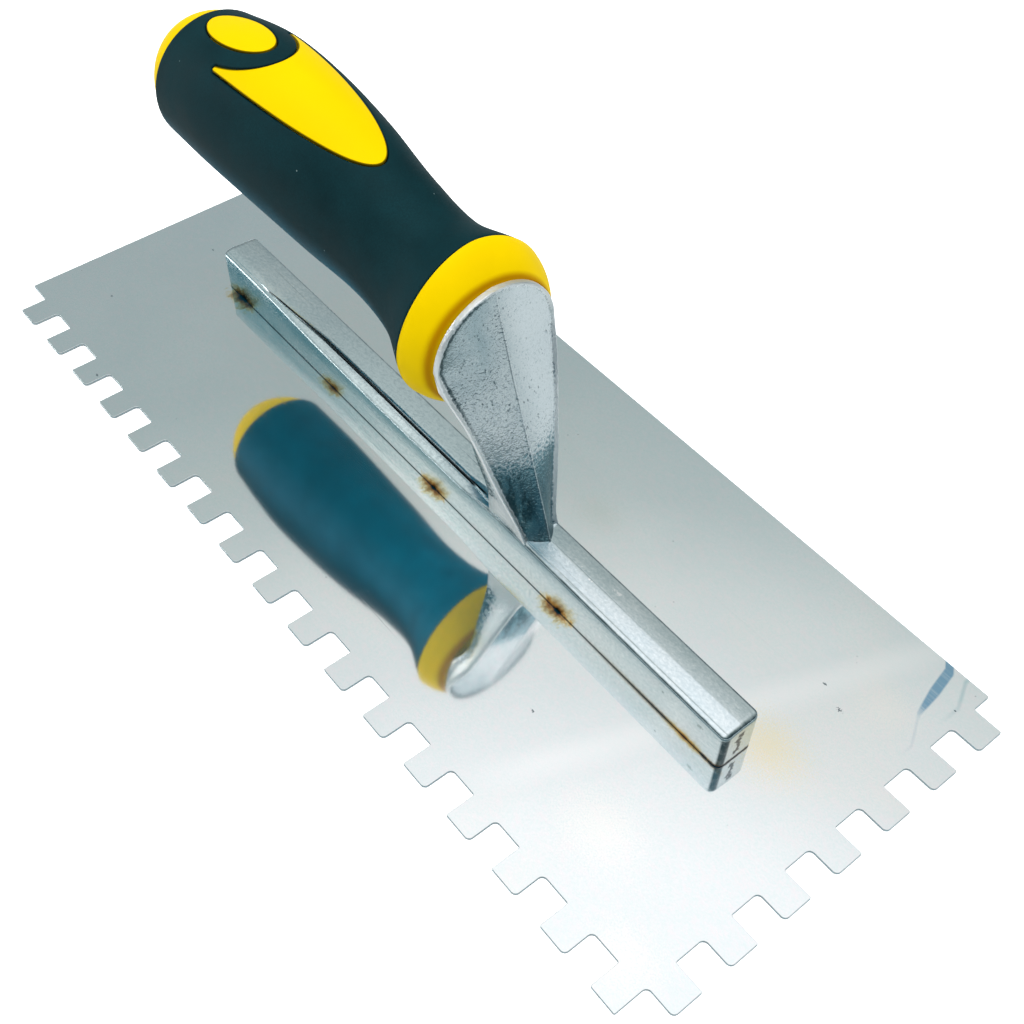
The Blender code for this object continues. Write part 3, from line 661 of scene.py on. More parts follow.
def cast_metal():
    """Plated casting: fine lumpy skin, small pits, a few scratches, painted light and shade."""
    n = Surface("neck_cast")
    grain = n.noise(2600.0, 3.0, 0.6)
    lumps = n.noise(1300.0, 2.0, 0.5, 0.3)
    broad = n.noise(120.0, 3.0, 0.5)
    patch = n.noise(260.0, 2.0, shift=(0.4, 0.0, 0.2))
    pits = n.times(n.dots(900.0, 0.1, 0.28), n.span(patch, 0.5, 0.6))
    line = n.noise(1.0, 1.0, stretch=(700.0, 700.0, 60.0), shift=(0.0, 0.2, 0.0))
    scratch = n.span(line, 0.72, 0.8)
    n.colour = n.mix(n.span(broad, 0.3, 0.7), (0.60, 0.66, 0.68), (0.70, 0.74, 0.75))
    n.coats(
        (n.times(pits, 0.7), (0.14, 0.19, 0.21)),
        (n.times(scratch, 0.35), (0.3, 0.36, 0.39)))
    up = n.part_of(2)
    lean = n.span(up, LEAN_START_Z, LEAN_END_Z, 0.0, HEAD_LEAN)
    across = n.minus(n.minus(n.part_of(1), MIDDLE_Y), lean)
    ragged = n.spread(lumps, -3.5, 3.5)
    shade = n.times(
        n.fall(across, -6.0, 3.0),
        n.span(up, 50.0, 70.0, 0.0, 0.95),
        n.span(broad, 0.3, 0.6, 1.0, 0.6))
    n.coat(shade, (0.33, 0.44, 0.47))
    # Painted light: the neck's front right of the ridge is made lighter.
    bright = n.times(n.span(across, 0.0, 6.0), 0.72)
    n.coat(bright, (0.86, 0.90, 0.92))
    # Painted reflection: the neck's lower part is darkened, with a ragged edge.
    low = n.fall(n.plus(up, ragged), 34.5, 39.5, smooth=True)
    n.coat(n.times(low, 0.9), (0.13, 0.29, 0.34))
    # Painted reflection: near-black streaks deepen the dark lower part left of the ridge.
    dark_reflection_streaks = n.noise(480.0, 3.0, 0.6, stretch=(1.0, 1.0, 0.22), shift=(0.0, 0.6, 0.1))
    dark_reflection_streaks = n.times(
        n.span(dark_reflection_streaks, 0.42, 0.56, 0.25, 1.0),
        n.span(across, -2.6, -1.2, 1.0, 0.3),
        n.span(n.plus(up, ragged), 31.0, 36.0, 0.85, 0.0))
    n.coat(dark_reflection_streaks, (0.016, 0.055, 0.068))
    # Grain specks: dark ones, and light ones that are partly painted glints.
    specks = n.most(n.span(grain, 0.56, 0.7, 0.0, 0.45), n.span(lumps, 0.6, 0.72, 0.0, 0.4))
    n.coats(
        (specks, (0.30, 0.39, 0.42)),
        (n.span(grain, 0.42, 0.3, 0.0, 0.35), (0.95, 0.97, 0.97)))
    # The real parting line, with painted shade on its left edge.
    parting = n.times(
        n.near_line(across, -0.24, 0.22),
        n.span(up, 66.0, 76.0, 0.75, 0.15),
        n.span(broad, 0.38, 0.55, 0.3, 1.0))
    n.coat(parting, (0.16, 0.21, 0.23))
    # Painted highlight along the ridge, strongest low down.
    ridge_highlight = n.times(n.near_line(across, 0.05, 0.24), n.span(up, 30.0, 45.0, 0.9, 0.35))
    n.coat(ridge_highlight, (0.92, 0.95, 0.96))
    inwards = n.span(up, 15.0, HEAD_CENTRE_Z, 5.27, HEAD_HALF_WIDTH)
    inwards = n.minus(inwards, n.absolute(across))
    rise = n.over(n.most(n.minus(up, HEAD_CENTRE_Z), 0.0), HEAD_HALF_HEIGHT)
    aside = n.over(across, HEAD_HALF_WIDTH)
    from_rim = n.minus(1.0, n.math("SQRT", n.squares(rise, aside)))
    inwards = n.math("MINIMUM", inwards, n.times(from_rim, HEAD_HALF_WIDTH))
    inwards = n.plus(inwards, n.spread(lumps, -0.25, 0.25))
    # Painted shade: a dark band just inside the head's rim on its left.
    dark = n.times(
        n.near_line(inwards, 1.45, 0.7),
        n.fall(across, -5.0, -1.0),
        n.span(up, 44.0, 58.0, 0.2, 0.9))
    n.coat(dark, (0.035, 0.07, 0.08))
    # Painted highlight: the head's rim is made nearly white, and rougher.
    rim = n.fall(inwards, 0.8, 1.15)
    n.coat(n.times(rim, 0.9), (0.97, 0.98, 0.98))
    rough = n.plus(n.times(rim, 0.25), n.spread(grain, 0.13, 0.22))
    normal = n.bumps(
        (broad, 0.00012, 1.0), (lumps, 0.00012, 1.0), (grain, 0.00003, 1.0),
        (pits, -0.00008, 0.9))
    return n.finish(rough, {"Metallic": 1.0, "Normal": normal})


def yellow_plastic(name, shift, on_core):
    """Hard yellow moulding: faint flow marks, fine orange peel, small scuffs."""
    n = Surface(name)
    flow = n.noise(70.0, 3.0, 0.5, stretch=(0.35, 1.0, 1.0), shift=(shift, 0.0, 0.0))
    peel = n.noise(1400.0, 2.0, shift=(shift, 0.1, 0.0))
    scuff = n.noise(1.0, 2.0, stretch=(60.0, 1300.0, 900.0), shift=(shift, 0.2, 0.0))
    scuff = n.span(scuff, 0.7, 0.78)
    n.colour = n.mix(n.span(flow, 0.3, 0.7), (0.82, 0.55, 0.0), (0.87, 0.595, 0.0))
    n.coat(n.times(scuff, 0.12), (0.70, 0.46, 0.0))
    # On the core: painted shade along the island outlines, and grime with painted contact shadow at
    # the neck.
    if on_core:
        n.coats(
            (n.island_gap_shade(), (0.05, 0.03, 0.0)),
            (n.neck_grime_and_shade(), (0.42, 0.17, 0.0)))
    normal = n.bumps((peel, 0.000004, 1.0), (scuff, -0.000008, 0.7))
    return n.finish(n.spread(flow, 0.34, 0.46),
                    {"Specular IOR Level": 0.02, "Normal": normal})


def soft_rubber():
    """Dark soft grip: fine matte grain, faint mottling, a few dust specks, painted teal bounce
    light beneath.
    """
    n = Surface("grip_rubber")
    grain = n.noise(2400.0, 3.0, 0.6)
    mottle = n.noise(90.0, 4.0, 0.6)
    patch = n.noise(70.0, 2.0, shift=(0.3, 0.0, 0.6))
    dust = n.times(n.dots(130.0, 0.018, 0.034), n.span(patch, 0.42, 0.5))
    n.colour = n.mix(n.span(mottle, 0.3, 0.7), (0.0015, 0.020, 0.025), (0.003, 0.030, 0.037))
    # Painted light: the underside is tinted teal as if lit from the blade's mirror, paler on its
    # near side.
    under = n.times(
        n.fall(n.facing(2), -0.58, -0.03, smooth=True),
        n.spread(mottle, 0.6, 1.0))
    bounce_teal = n.mix(n.span(n.part_of(0), -65.0, -15.0), (0.003, 0.105, 0.155), (0.01, 0.215, 0.33))
    bounce_teal = n.mix(n.span(n.facing(1), -0.5, -0.88, 0.0, 0.6), bounce_teal, (0.045, 0.17, 0.25))
    n.coats(
        (under, bounce_teal),
        (n.span(grain, 0.35, 0.65, 0.0, 0.35), (0.001, 0.012, 0.015)),
        (n.times(dust, 0.75), (0.30, 0.42, 0.42)))
    normal = n.bumps((grain, 0.000016, 1.0), (mottle, 0.00004, 1.0))
    return n.finish(n.spread(mottle, 0.5, 0.62),
                    {"Specular IOR Level": 0.09, "Normal": normal})


def plain_steel(name, light, scale):
    """Machined or plated steel of the hidden fasteners."""
    n = Surface(name)
    turn = n.noise(1.0, 3.0, 0.6, stretch=(scale, 60.0, 60.0))
    blotch = n.noise(300.0, 3.0)
    low = tuple(0.82 * value for value in light)
    n.colour = n.mix(n.span(blotch, 0.3, 0.7), low, light)
    return n.finish(n.spread(turn, 0.26, 0.42),
                    {"Metallic": 1.0, "Normal": n.bumps((turn, 0.00001, 1.0))})


# ---------------------------------------------------------------- blade

def rounded_outline(corners):
    """Replace each corner (x, y, radius) of a right-angled outline with an arc."""
    outline = []
    for index, (x, y, radius) in enumerate(corners):
        before = corners[index - 1]
        after = corners[(index + 1) % len(corners)]
        in_x = (before[0] > x) - (before[0] < x)
        in_y = (before[1] > y) - (before[1] < y)
        out_x = (after[0] > x) - (after[0] < x)
        out_y = (after[1] > y) - (after[1] < y)
        centre_x = x + radius * (in_x + out_x)
        centre_y = y + radius * (in_y + out_y)
        steps = 7 if radius > 1.0 else 3
        for turn in quarter_turn(steps):
            from_in = radius * math.cos(turn)
            from_out = radius * math.sin(turn)
            outline.append((centre_x - from_in * out_x - from_out * in_x,
                            centre_y - from_in * out_y - from_out * in_y))
    return outline


def blade_corners():
    """Corners of the blade, anticlockwise from the rear plain corner."""
    left = BLADE_LOW.x / MM
    right = BLADE_HIGH.x / MM
    near = BLADE_LOW.y / MM
    far = BLADE_HIGH.y / MM
    root_y = near + NOTCH_DEPTH
    root_x = right - NOTCH_DEPTH
    corners = [(left, far, SHEET_CORNER), (left, root_y, CRISP_CORNER)]
    for tooth in range(LONG_TEETH):
        start = left + LONG_FIRST_NOTCH + NOTCH_PITCH * tooth
        end = min(start + LONG_TOOTH, root_x)
        corners.append((start, root_y, CRISP_CORNER))
        corners.append((start, near, CRISP_CORNER))
        if tooth < LONG_TEETH - 1:
            corners.append((end, near, ROUND_CORNER))
            corners.append((end, root_y, ROUND_CORNER))
        else:
            corners.append((end, near, CRISP_CORNER))
    for tooth in range(SHORT_TEETH):
        start = near + SHORT_FIRST_NOTCH + NOTCH_PITCH * tooth
        end = start + SHORT_TOOTH
        corners.append((root_x, start, ROUND_CORNER))
        corners.append((right, start, ROUND_CORNER))
        corners.append((right, end, CRISP_CORNER))
        corners.append((root_x, end, CRISP_CORNER))
    corners.append((root_x, far, CRISP_CORNER))
    return corners


def build_blade():
    """Notched sheet with softly rounded cut edges, from a filled curve."""
    outline = rounded_outline(blade_corners())
    curve = bpy.data.curves.new("blade_outline", "CURVE")
    curve.dimensions = "2D"
    curve.fill_mode = "BOTH"
    curve.extrude = 0.5 * (BLADE_HIGH.z - BLADE_LOW.z) - SHEET_EDGE * MM
    curve.bevel_depth = SHEET_EDGE * MM
    curve.bevel_resolution = 2
    curve.offset = -SHEET_EDGE * MM
    spline = curve.splines.new("POLY")
    spline.points.add(len(outline) - 1)
    for point, (x, y) in zip(spline.points, outline):
        point.co = (x * MM, y * MM, 0.0, 1.0)
    spline.use_cyclic_u = True
    holder = link("blade_curve", curve)
    graph = bpy.context.evaluated_depsgraph_get()
    mesh = bpy.data.meshes.new_from_object(holder.evaluated_get(graph))
    bpy.data.objects.remove(holder, do_unlink=True)
    mesh.name = "blade_sheet"
    mesh.transform(Matrix.Translation((0.0, 0.0, 0.5 * (BLADE_HIGH.z + BLADE_LOW.z))))
    weld(mesh, degenerate=False)
    mesh.materials.clear()
    mesh.materials.append(stainless())
    for face in mesh.polygons:
        face.use_smooth = abs(face.normal.z) < 0.999
    stands_for(link("blade_sheet", mesh), "blade")


# ---------------------------------------------------------------- bar

def bar_profile(side_top, edge, strip, strip_top, groove, near_top, ridge, far_top, far_edge):
    """Section of the bar from near foot over its top to far foot, as (y, z).

    The near edge is an arc, then comes a sloped strip, a groove, the top with its ridge and the
    rounded far edge.
    """
    half = BAR_HALF_WIDTH
    points = [(-half, BAR_BOTTOM), (-half, 0.5 * (BAR_BOTTOM + side_top))]
    for turn in quarter_turn(4):
        points.append((-half + edge * (1.0 - math.cos(0.8 * turn)),
                       side_top + edge * math.sin(0.8 * turn)))
    points += [
        (strip, strip_top),
        (strip + 0.14, strip_top - groove),
        (strip + 0.34, near_top - 0.1 - 0.2 * groove),
        (strip + 0.7, near_top),
        (ridge[0] - 0.2, ridge[1] - 0.01),
        ridge,
        (ridge[0] + 0.2, ridge[1] - 0.01),
    ]
    for turn in quarter_turn(4):
        points.append((half - far_edge * (1.0 - math.sin(turn)),
                       far_top - far_edge * (1.0 - math.cos(turn))))
    return points + [(half, 0.5 * (BAR_BOTTOM + far_top)), (half, BAR_BOTTOM)]


def bar_ring(x, profile, inset=0.0, drop=0.0):
    """Ring of the bar at X, moved in at the sides and lowered at the top for a rounded end."""
    narrow = 1.0 - inset / BAR_HALF_WIDTH
    ring = []
    for y, z in profile:
        share = (z - BAR_BOTTOM) / BAR_RISE
        ring.append((x, y * narrow, z - drop * share * share))
    return ring


def bar_end(x, inwards, profile, drop):
    """Rings of the bar's rounded end at X, from the end inwards."""
    rings = []
    for turn in quarter_turn(8)[:-1]:
        short = 1.0 - math.sin(turn)
        place = x + inwards * BAR_END_ROUND * (1.0 - math.cos(turn))
        rings.append(bar_ring(place, profile, BAR_END_ROUND * short, drop * short))
    return rings


def build_bar(material):
    """Bar: a sloped strip with a groove behind the neck, a low ridge in front, rounded ends."""
    rear = bar_profile(12.5, 0.35, -4.75, 13.2, 0.0, 13.42, (-2.4, 13.46), 13.1, 0.5)
    fading = bar_profile(12.3, 0.3, -4.6, 13.0, 0.1, 13.46, (-2.4, 13.48), 13.1, 0.5)
    wide = bar_profile(11.3, 0.3, -3.1, 12.45, 0.25, 13.5, (-1.6, 13.48), 12.98, 0.5)
    full = bar_profile(11.1, 0.3, -2.85, 12.4, 0.3, 13.5, (-1.4, 13.48), 12.88, 0.5)
    front = bar_profile(12.7, 0.9, -4.3, 13.68, 0.0, 13.73, (0.0, 14.0), 13.8, 0.8)
    stations = [
        (BAR_REAR + BAR_END_ROUND, rear), (-88.0, rear), (-78.0, fading), (-54.0, wide),
        (-20.0, full), (10.0, full), (24.0, front), (60.0, front),
        (BAR_FRONT - BAR_END_ROUND, front),
    ]
    rings = bar_end(BAR_REAR, 1.0, rear, 0.5)
    rings += [bar_ring(x, profile) for x, profile in stations]
    rings += reversed(bar_end(BAR_FRONT, -1.0, front, 1.1))
    bar = make_object("bar", loft(rings), material, 34.0)
    stands_for(bar, "mount_casting")


# ---------------------------------------------------------------- neck

NECK_LEVELS = (
    # height, ridge X, edge X, half width, rear X, rear half width
    (9.0, 40.1, 36.6, 5.3, 21.0, 5.0),
    (13.6, 39.4, 35.9, 5.45, 21.0, 5.2),
    (15.0, 38.7, 35.1, 5.6, 21.0, 5.25),
    (17.0, 38.0, 34.2, 5.9, 21.0, 5.3),
    (21.0, 36.7, 33.0, 6.9, 21.0, 5.6),
    (26.0, 35.1, 31.6, 8.2, 21.0, 6.6),
    (31.0, 33.5, 30.2, 9.4, 21.0, 7.9),
    (36.0, 31.9, 28.9, 10.5, 20.9, 9.1),
    (41.0, 30.2, 27.4, 11.4, 20.7, 9.9),
    (46.0, 28.6, 25.9, 12.5, 20.3, 11.1),
    (50.0, 27.3, 24.6, 13.4, 18.9, 12.2),
    (54.0, 26.0, 22.9, 14.6, HEAD_BACK, 13.8),
    (58.0, 24.7, 21.0, 15.8, HEAD_BACK, 15.5),
)


def neck_level(height):
    """Ridge X, edge X, half width, rear X and rear half width at a height."""
    levels = NECK_LEVELS
    if height <= levels[0][0]:
        return levels[0][1:]
    if height < HEAD_CENTRE_Z:
        rows = levels + ((HEAD_CENTRE_Z, 22.7, HEAD_EDGE_X, HEAD_HALF_WIDTH, HEAD_BACK, 16.6),)
        for low, high in zip(rows, rows[1:]):
            if height <= high[0]:
                share = (height - low[0]) / (high[0] - low[0])
                return tuple(a + (b - a) * share for a, b in zip(low[1:], high[1:]))
    rise = min(0.9999, (height - HEAD_CENTRE_Z) / HEAD_HALF_HEIGHT)
    across = math.sqrt(1.0 - rise * rise)
    half_width = HEAD_HALF_WIDTH * across
    edge = HEAD_EDGE_X - 0.025 * (height - HEAD_CENTRE_Z)
    ridge = 38.3 - 0.324 * (height - 15.8)
    ridge = edge + (ridge - edge) * (0.12 + 0.88 * across ** 0.8)
    return ridge, edge, half_width, HEAD_BACK, half_width - 0.2


def neck_ring(height):
    """Level ring of the neck: ridged front with a fine parting line, raised rim, flanks, back."""
    ridge, edge, half_width, rear, rear_half_width = neck_level(height)
    rise = ridge - edge
    rim = min(1.0, half_width / 6.0)
    side = [(ridge + 0.16, 0.0), (ridge + 0.1, 0.16 * rim), (ridge - 0.06, 0.3 * rim)]
    face_width = half_width - 1.5 * rim
    valley = edge - 0.3 * rim
    for share in (0.12, 0.25, 0.4, 0.55, 0.7, 0.84, 1.0):
        fall = 1.0 - 0.6 * share - 0.4 * share * share
        side.append((valley + fall * (rise + 0.2), max(0.35 * rim, share * face_width)))
    side.extend([
        (valley + 0.02 * rim, half_width - 1.2 * rim),
        (valley + 0.14 * rim, half_width - 0.85 * rim),
        (edge + 0.04 * rim, half_width - 0.6 * rim),
        (edge + 0.16 * rim, half_width - 0.4 * rim),
        (edge + 0.1 * rim, half_width - 0.2 * rim),
        (edge - 0.2, half_width - 0.05 * rim),
        (edge - 0.6, half_width),
        (edge - 1.3, half_width - 0.05 * rim),
    ])
    start_x, start_y = side[-1]
    for share in (0.25, 0.5, 0.75):
        bow = 0.35 * math.sin(math.pi * share)
        side.append((start_x + (rear + 0.6 - start_x) * share,
                     start_y + (rear_half_width - start_y) * share - bow * rim))
    side.append((rear + 0.6, rear_half_width))
    side.append((rear, max(0.0, rear_half_width - 0.6)))
    share = (height - LEAN_START_Z) / (LEAN_END_Z - LEAN_START_Z)
    lean = HEAD_LEAN * max(0.0, min(1.0, share))
    ring = [(x, lean + y, height) for x, y in side]
    ring.append((rear, lean, height))
    ring.extend((x, lean - y, height) for x, y in reversed(side[1:]))
    return ring


def build_neck(material):
    """Neck with its head, and the tang behind it."""
    heights = [9.0, 11.5, 13.2, 14.0, 14.8, 15.6, 16.5, 17.5, 19.0]
    heights += [20.5 + 1.5 * step for step in range(25)]
    heights += [58.0, 59.5, 61.0, 62.5]
    for degrees in (3, 8, 13, 18, 24, 30, 36, 42, 48, 54, 60, 66, 71, 75, 79, 82, 85, 87.5):
        heights.append(HEAD_CENTRE_Z + HEAD_HALF_HEIGHT * math.sin(math.radians(degrees)))
    rings = [neck_ring(height) for height in heights]
    stands_for(make_object("neck", loft(rings), material, 50.0), "mount_casting")
    rings = [oval_ring(x, BOLT_AXIS_Z, radius, radius, 2.0, 40) for x, radius in TANG_STEPS]
    stands_for(make_object("tang", loft(rings), material), "mount_casting")


# ---------------------------------------------------------------- handle

def handle_size(x):
    """Centre height, half width, half height and fullness of the skin at station x."""
    stations = HANDLE_STATIONS
    last = stations[-1]
    if x < last[0]:
        share = min(1.0, (last[0] - x) / (last[0] - BUTT_X))
        fall = max(0.0, 1.0 - share ** BUTT_FULLNESS) ** (1.0 / BUTT_FULLNESS)
        half_width = (last[2] - BUTT_STEP) * fall
        half_height = (last[3] - BUTT_STEP) * fall
        return last[1] + BUTT_RISE * share, half_width, half_height, last[4]
    span = 0
    while span < len(stations) - 2 and x < stations[span + 1][0]:
        span += 1
    start = stations[span]
    end = stations[span + 1]
    before = stations[max(span - 1, 0)]
    after = stations[min(span + 2, len(stations) - 1)]
    share = (start[0] - x) / (start[0] - end[0])
    length = start[0] - end[0]
    values = []
    for index in (1, 2, 3, 4):
        slope_in = (end[index] - before[index]) / (before[0] - end[0])
        slope_out = (after[index] - start[index]) / (start[0] - after[0])
        cubic = (2 * share ** 3 - 3 * share ** 2 + 1) * start[index]
        cubic += (share ** 3 - 2 * share ** 2 + share) * length * slope_in
        cubic += (3 * share ** 2 - 2 * share ** 3) * end[index]
        cubic += (share ** 3 - share ** 2) * length * slope_out
        values.append(cubic)
    return tuple(values)


def raw_skin(x, angle):
    """Point on the skin; the angle runs from the top towards +Y."""
    centre_z, half_width, half_height, fullness = handle_size(x)
    across = signed_power(math.sin(angle), 2.0 / fullness)
    upwards = signed_power(math.cos(angle), 2.0 / fullness)
    return Vector((x, half_width * across, centre_z + half_height * upwards))


def skin_point(x, angle, depth=0.0):
    """Point under the skin by a depth along its normal."""
    here = raw_skin(x, angle)
    if depth == 0.0:
        return here
    step = 0.05
    along = raw_skin(x + step, angle) - raw_skin(x - step, angle)
    around = raw_skin(x, angle + 0.004) - raw_skin(x, angle - 0.004)
    normal = around.cross(along).normalized()
    outwards = here - Vector((x, 0.0, handle_size(x)[0]))
    if normal.dot(outwards) < 0.0:
        normal.negate()
    return here - depth * normal


def skin_ring(x, depth=0.0):
    """Upright ring at station x, a depth under the skin in the ring's own plane."""
    centre_z, half_width, half_height, fullness = handle_size(x)
    return oval_ring(x, centre_z, half_width - depth, half_height - depth, fullness)


def lip_rings(x, direction):
    """Rings of a rounded edge that starts at x and goes on along X in a direction."""
    rings = []
    for turn in quarter_turn(4):
        place = x + direction * CORE_LIP * (1.0 - math.cos(turn))
        rings.append(skin_ring(place, CORE_LIP * (1.0 - math.sin(turn))))
    return rings


def lip_depth(distance, radius):
    """Depth of a rounded edge at a distance in from it."""
    if distance >= radius:
        return 0.0
    return radius - math.sqrt(max(0.0, radius ** 2 - (radius - distance) ** 2))


def oval_outline(grow):
    """Plan outline of the oval island."""
    outline = []
    for index in range(72):
        angle = 2.0 * math.pi * index / 72
        outline.append((OVAL_CENTRE_X + (OVAL_HALF_LENGTH + grow) * math.cos(angle),
                        ISLAND_Y + (OVAL_HALF_WIDTH + grow) * math.sin(angle)))
    return outline


def leaf_outline(grow):
    """Plan outline of the leaf: long half oval with an oval bite out of its broad end."""
    length = LEAF_LENGTH + grow
    half_width = LEAF_HALF_WIDTH + grow
    side = []
    for index in range(61):
        angle = math.radians(88.5 * index / 60)
        side.append((LEAF_REAR_X + length * math.cos(angle), half_width * math.sin(angle)))
    bite_length = CRESCENT_HALF_LENGTH - grow
    bite_width = CRESCENT_HALF_WIDTH - grow
    bite_start = math.acos((LEAF_REAR_X + LEAF_TIP - grow - OVAL_CENTRE_X) / bite_length)
    tip_y = 0.5 * (half_width + bite_width * math.sin(bite_start))
    side.append((LEAF_REAR_X + LEAF_TIP - 0.7 - grow, tip_y))
    for index in range(33):
        angle = bite_start * (1.0 - index / 32)
        side.append((OVAL_CENTRE_X + bite_length * math.cos(angle), bite_width * math.sin(angle)))
    outline = [(x, ISLAND_Y + y) for x, y in side]
    outline.extend((x, ISLAND_Y - y) for x, y in reversed(side[1:-1]))
    return outline


def to_skin(outline):
    """Turn a plan outline into (x, arc) on the skin, where arc is the angle times a radius."""
    flat = []
    for x, y in outline:
        half_width = handle_size(x)[1]
        flat.append((x, MEAN_RADIUS * math.asin(max(-1.0, min(1.0, y / half_width)))))
    return np.array(flat)


def distance_to(points, outline):
    """Distance from each point to a closed outline."""
    best = np.full(len(points), 1e9)
    following = np.roll(outline, -1, axis=0)
    for start, end in zip(outline, following):
        line = end - start
        share = ((points - start) @ line) / max(1e-12, line @ line)
        share = np.clip(share, 0.0, 1.0)
        foot = start + share[:, None] * line
        best = np.minimum(best, np.hypot(*(points - foot).T))
    return best


def inside(points, outline):
    """Whether each point is inside a closed outline."""
    result = np.zeros(len(points), bool)
    following = np.roll(outline, -1, axis=0)
    for (x0, y0), (x1, y1) in zip(outline, following):
        crosses = (y0 > points[:, 1]) != (y1 > points[:, 1])
        with np.errstate(divide="ignore", invalid="ignore"):
            meet = x0 + (points[:, 1] - y0) * (x1 - x0) / (y1 - y0)
        result ^= crosses & (points[:, 0] < meet)
    return result


def edge_points(outline, side):
    """Points beside an outline at growing distances, on one side of it."""
    following = np.roll(outline, -1, axis=0)
    before = np.roll(outline, 1, axis=0)
    tangent = following - before
    tangent /= np.maximum(1e-9, np.hypot(*tangent.T))[:, None]
    normal = np.stack([tangent[:, 1], -tangent[:, 0]], axis=1)
    probe = outline + 0.02 * normal
    outwards = np.where(inside(probe, outline), -1.0, 1.0)[:, None] * normal * side
    rows = []
    for number, step in enumerate(EDGE_STEPS):
        row = outline + step * outwards
        if number >= 4:
            row = row[::2]
        rows.append(row[distance_to(row, outline) > 0.92 * step])
    return np.concatenate(rows)


def triangulate(points, outlines):
    """Triangles over flat points with the outlines as edges."""
    coordinates = [Vector((float(x), float(y))) for x, y in points]
    edges = []
    for outline in outlines:
        start = len(coordinates)
        coordinates.extend(Vector((float(x), float(y))) for x, y in outline)
        count = len(outline)
        edges.extend((start + index, start + (index + 1) % count) for index in range(count))
    flat, _, faces, _, _, _ = geometry.delaunay_2d_cdt(coordinates, edges, [], 0, 1e-6)
    return np.array([tuple(point) for point in flat]), faces


def faces_where(flat, faces, test):
    """Faces whose middles pass a test."""
    middles = np.array([flat[list(face)].mean(axis=0) for face in faces])
    return [face for face, keep in zip(faces, test(middles)) if keep]


def skin_solid(name, flat, faces, outlines, lip, wall, material, ends=None):
    """Closed shell on the skin: rounded at the outlines and ends, with walls down to a lining."""
    depth_at = np.full(len(flat), 1e9)
    for outline in outlines:
        depth_at = np.minimum(depth_at, distance_to(flat, outline))
    if ends is not None:
        depth_at = np.minimum(depth_at, np.abs(flat[:, 0] - ends[0]))
        depth_at = np.minimum(depth_at, np.abs(flat[:, 0] - ends[1]))
    count = len(flat)
    vertices = []
    for (x, arc), distance in zip(flat, depth_at):
        vertices.append(tuple(skin_point(x, arc / MEAN_RADIUS, lip_depth(distance, lip) + 1e-9)))
    for x, arc in flat:
        vertices.append(tuple(skin_point(x, arc / MEAN_RADIUS, wall)))
    used = {}
    shell = []
    for a, b, c in faces:
        first = flat[b] - flat[a]
        second = flat[c] - flat[a]
        if first[0] * second[1] - first[1] * second[0] < 0.0:
            a, c = c, a
        shell.append((a, b, c))
        shell.append((a + count, c + count, b + count))
        for start, end in ((a, b), (b, c), (c, a)):
            used[(start, end)] = True
    for start, end in used:
        if (end, start) in used:
            continue
        off_seam = max(abs(abs(flat[point][1]) - SEAM_ARC) for point in (start, end))
        if ends is None or off_seam >= SEAM_SLACK:
            shell.append((end, start, start + count, end + count))
    return make_object(name, (vertices, shell), material, 60.0)


def build_islands(material):
    """Oval and leaf islands, standing on the core."""
    for name, outline in (("oval_inlay", oval_outline(0.0)), ("leaf_inlay", leaf_outline(0.0))):
        edge = to_skin(outline)
        low = edge.min(axis=0)
        high = edge.max(axis=0)
        grid = []
        for x in np.arange(low[0], high[0], GRIP_GRID):
            for arc in np.arange(low[1], high[1], GRIP_GRID):
                grid.append((x, arc))
        grid = np.array(grid)
        grid = grid[inside(grid, edge) & (distance_to(grid, edge) > OUTLINE_CLEAR)]
        points = np.concatenate([grid, edge_points(edge, -1.0)])
        flat, faces = triangulate(points, [edge])
        kept = faces_where(flat, faces, lambda middles: inside(middles, edge))
        island = skin_solid(name, flat, kept, [edge], CORE_LIP, GRIP_WALL + 0.2, material)
        stands_for(island, "handle_core")


def build_grip(material):
    """Soft shell round the core with a window for each island."""
    front = RING_X - GAP
    rear = GRIP_REAR
    around = int(round(2.0 * SEAM_ARC / GRIP_GRID))
    windows = [to_skin(oval_outline(GAP)), to_skin(leaf_outline(GAP))]
    stations = [rear + step for step in END_STEPS]
    length = front - rear - 2.0 * END_RUN
    count = int(round(length / GRIP_GRID))
    stations += [rear + END_RUN + length * index / count for index in range(count + 1)]
    stations += [front - step for step in reversed(END_STEPS)]
    grid = np.array([(x, -SEAM_ARC + 2.0 * SEAM_ARC * index / around)
                     for x in stations for index in range(around + 1)])
    keep = np.ones(len(grid), bool)
    for window in windows:
        keep &= ~inside(grid, window) & (distance_to(grid, window) > OUTLINE_CLEAR)
    points = np.concatenate([grid[keep]] + [edge_points(window, 1.0) for window in windows])
    flat, faces = triangulate(points, windows)
    kept = faces_where(flat, faces, lambda middles: ~(
        inside(middles, windows[0]) | inside(middles, windows[1])))
    grip = skin_solid("soft_grip_skin", flat, kept, windows, GRIP_LIP, GRIP_WALL, material,
                      ends=(rear, front))
    stands_for(grip, "soft_grip")


def build_core(material):
    """Hard core under the grip with the front collar."""
    rings = []
    for index in range(25):
        x = GRIP_REAR + (RING_X - GRIP_REAR) * index / 24
        rings.append(skin_ring(x, GRIP_WALL + GAP))
    rings += lip_rings(RING_X, 1.0)
    start = np.array(handle_size(RING_X))
    for turn in quarter_turn(26)[1:]:
        share = max(0.0, math.cos(turn)) ** 1.8
        x = RING_X + CORE_LIP + (COLLAR_FRONT - RING_X - CORE_LIP) * math.sin(turn) ** 1.3
        rings.append(oval_ring(x, *(COLLAR_FRONT_SIZE + (start - COLLAR_FRONT_SIZE) * share)))
    core = make_object("core_and_collar", loft(rings), material, 50.0)
    stands_for(core, "handle_core")


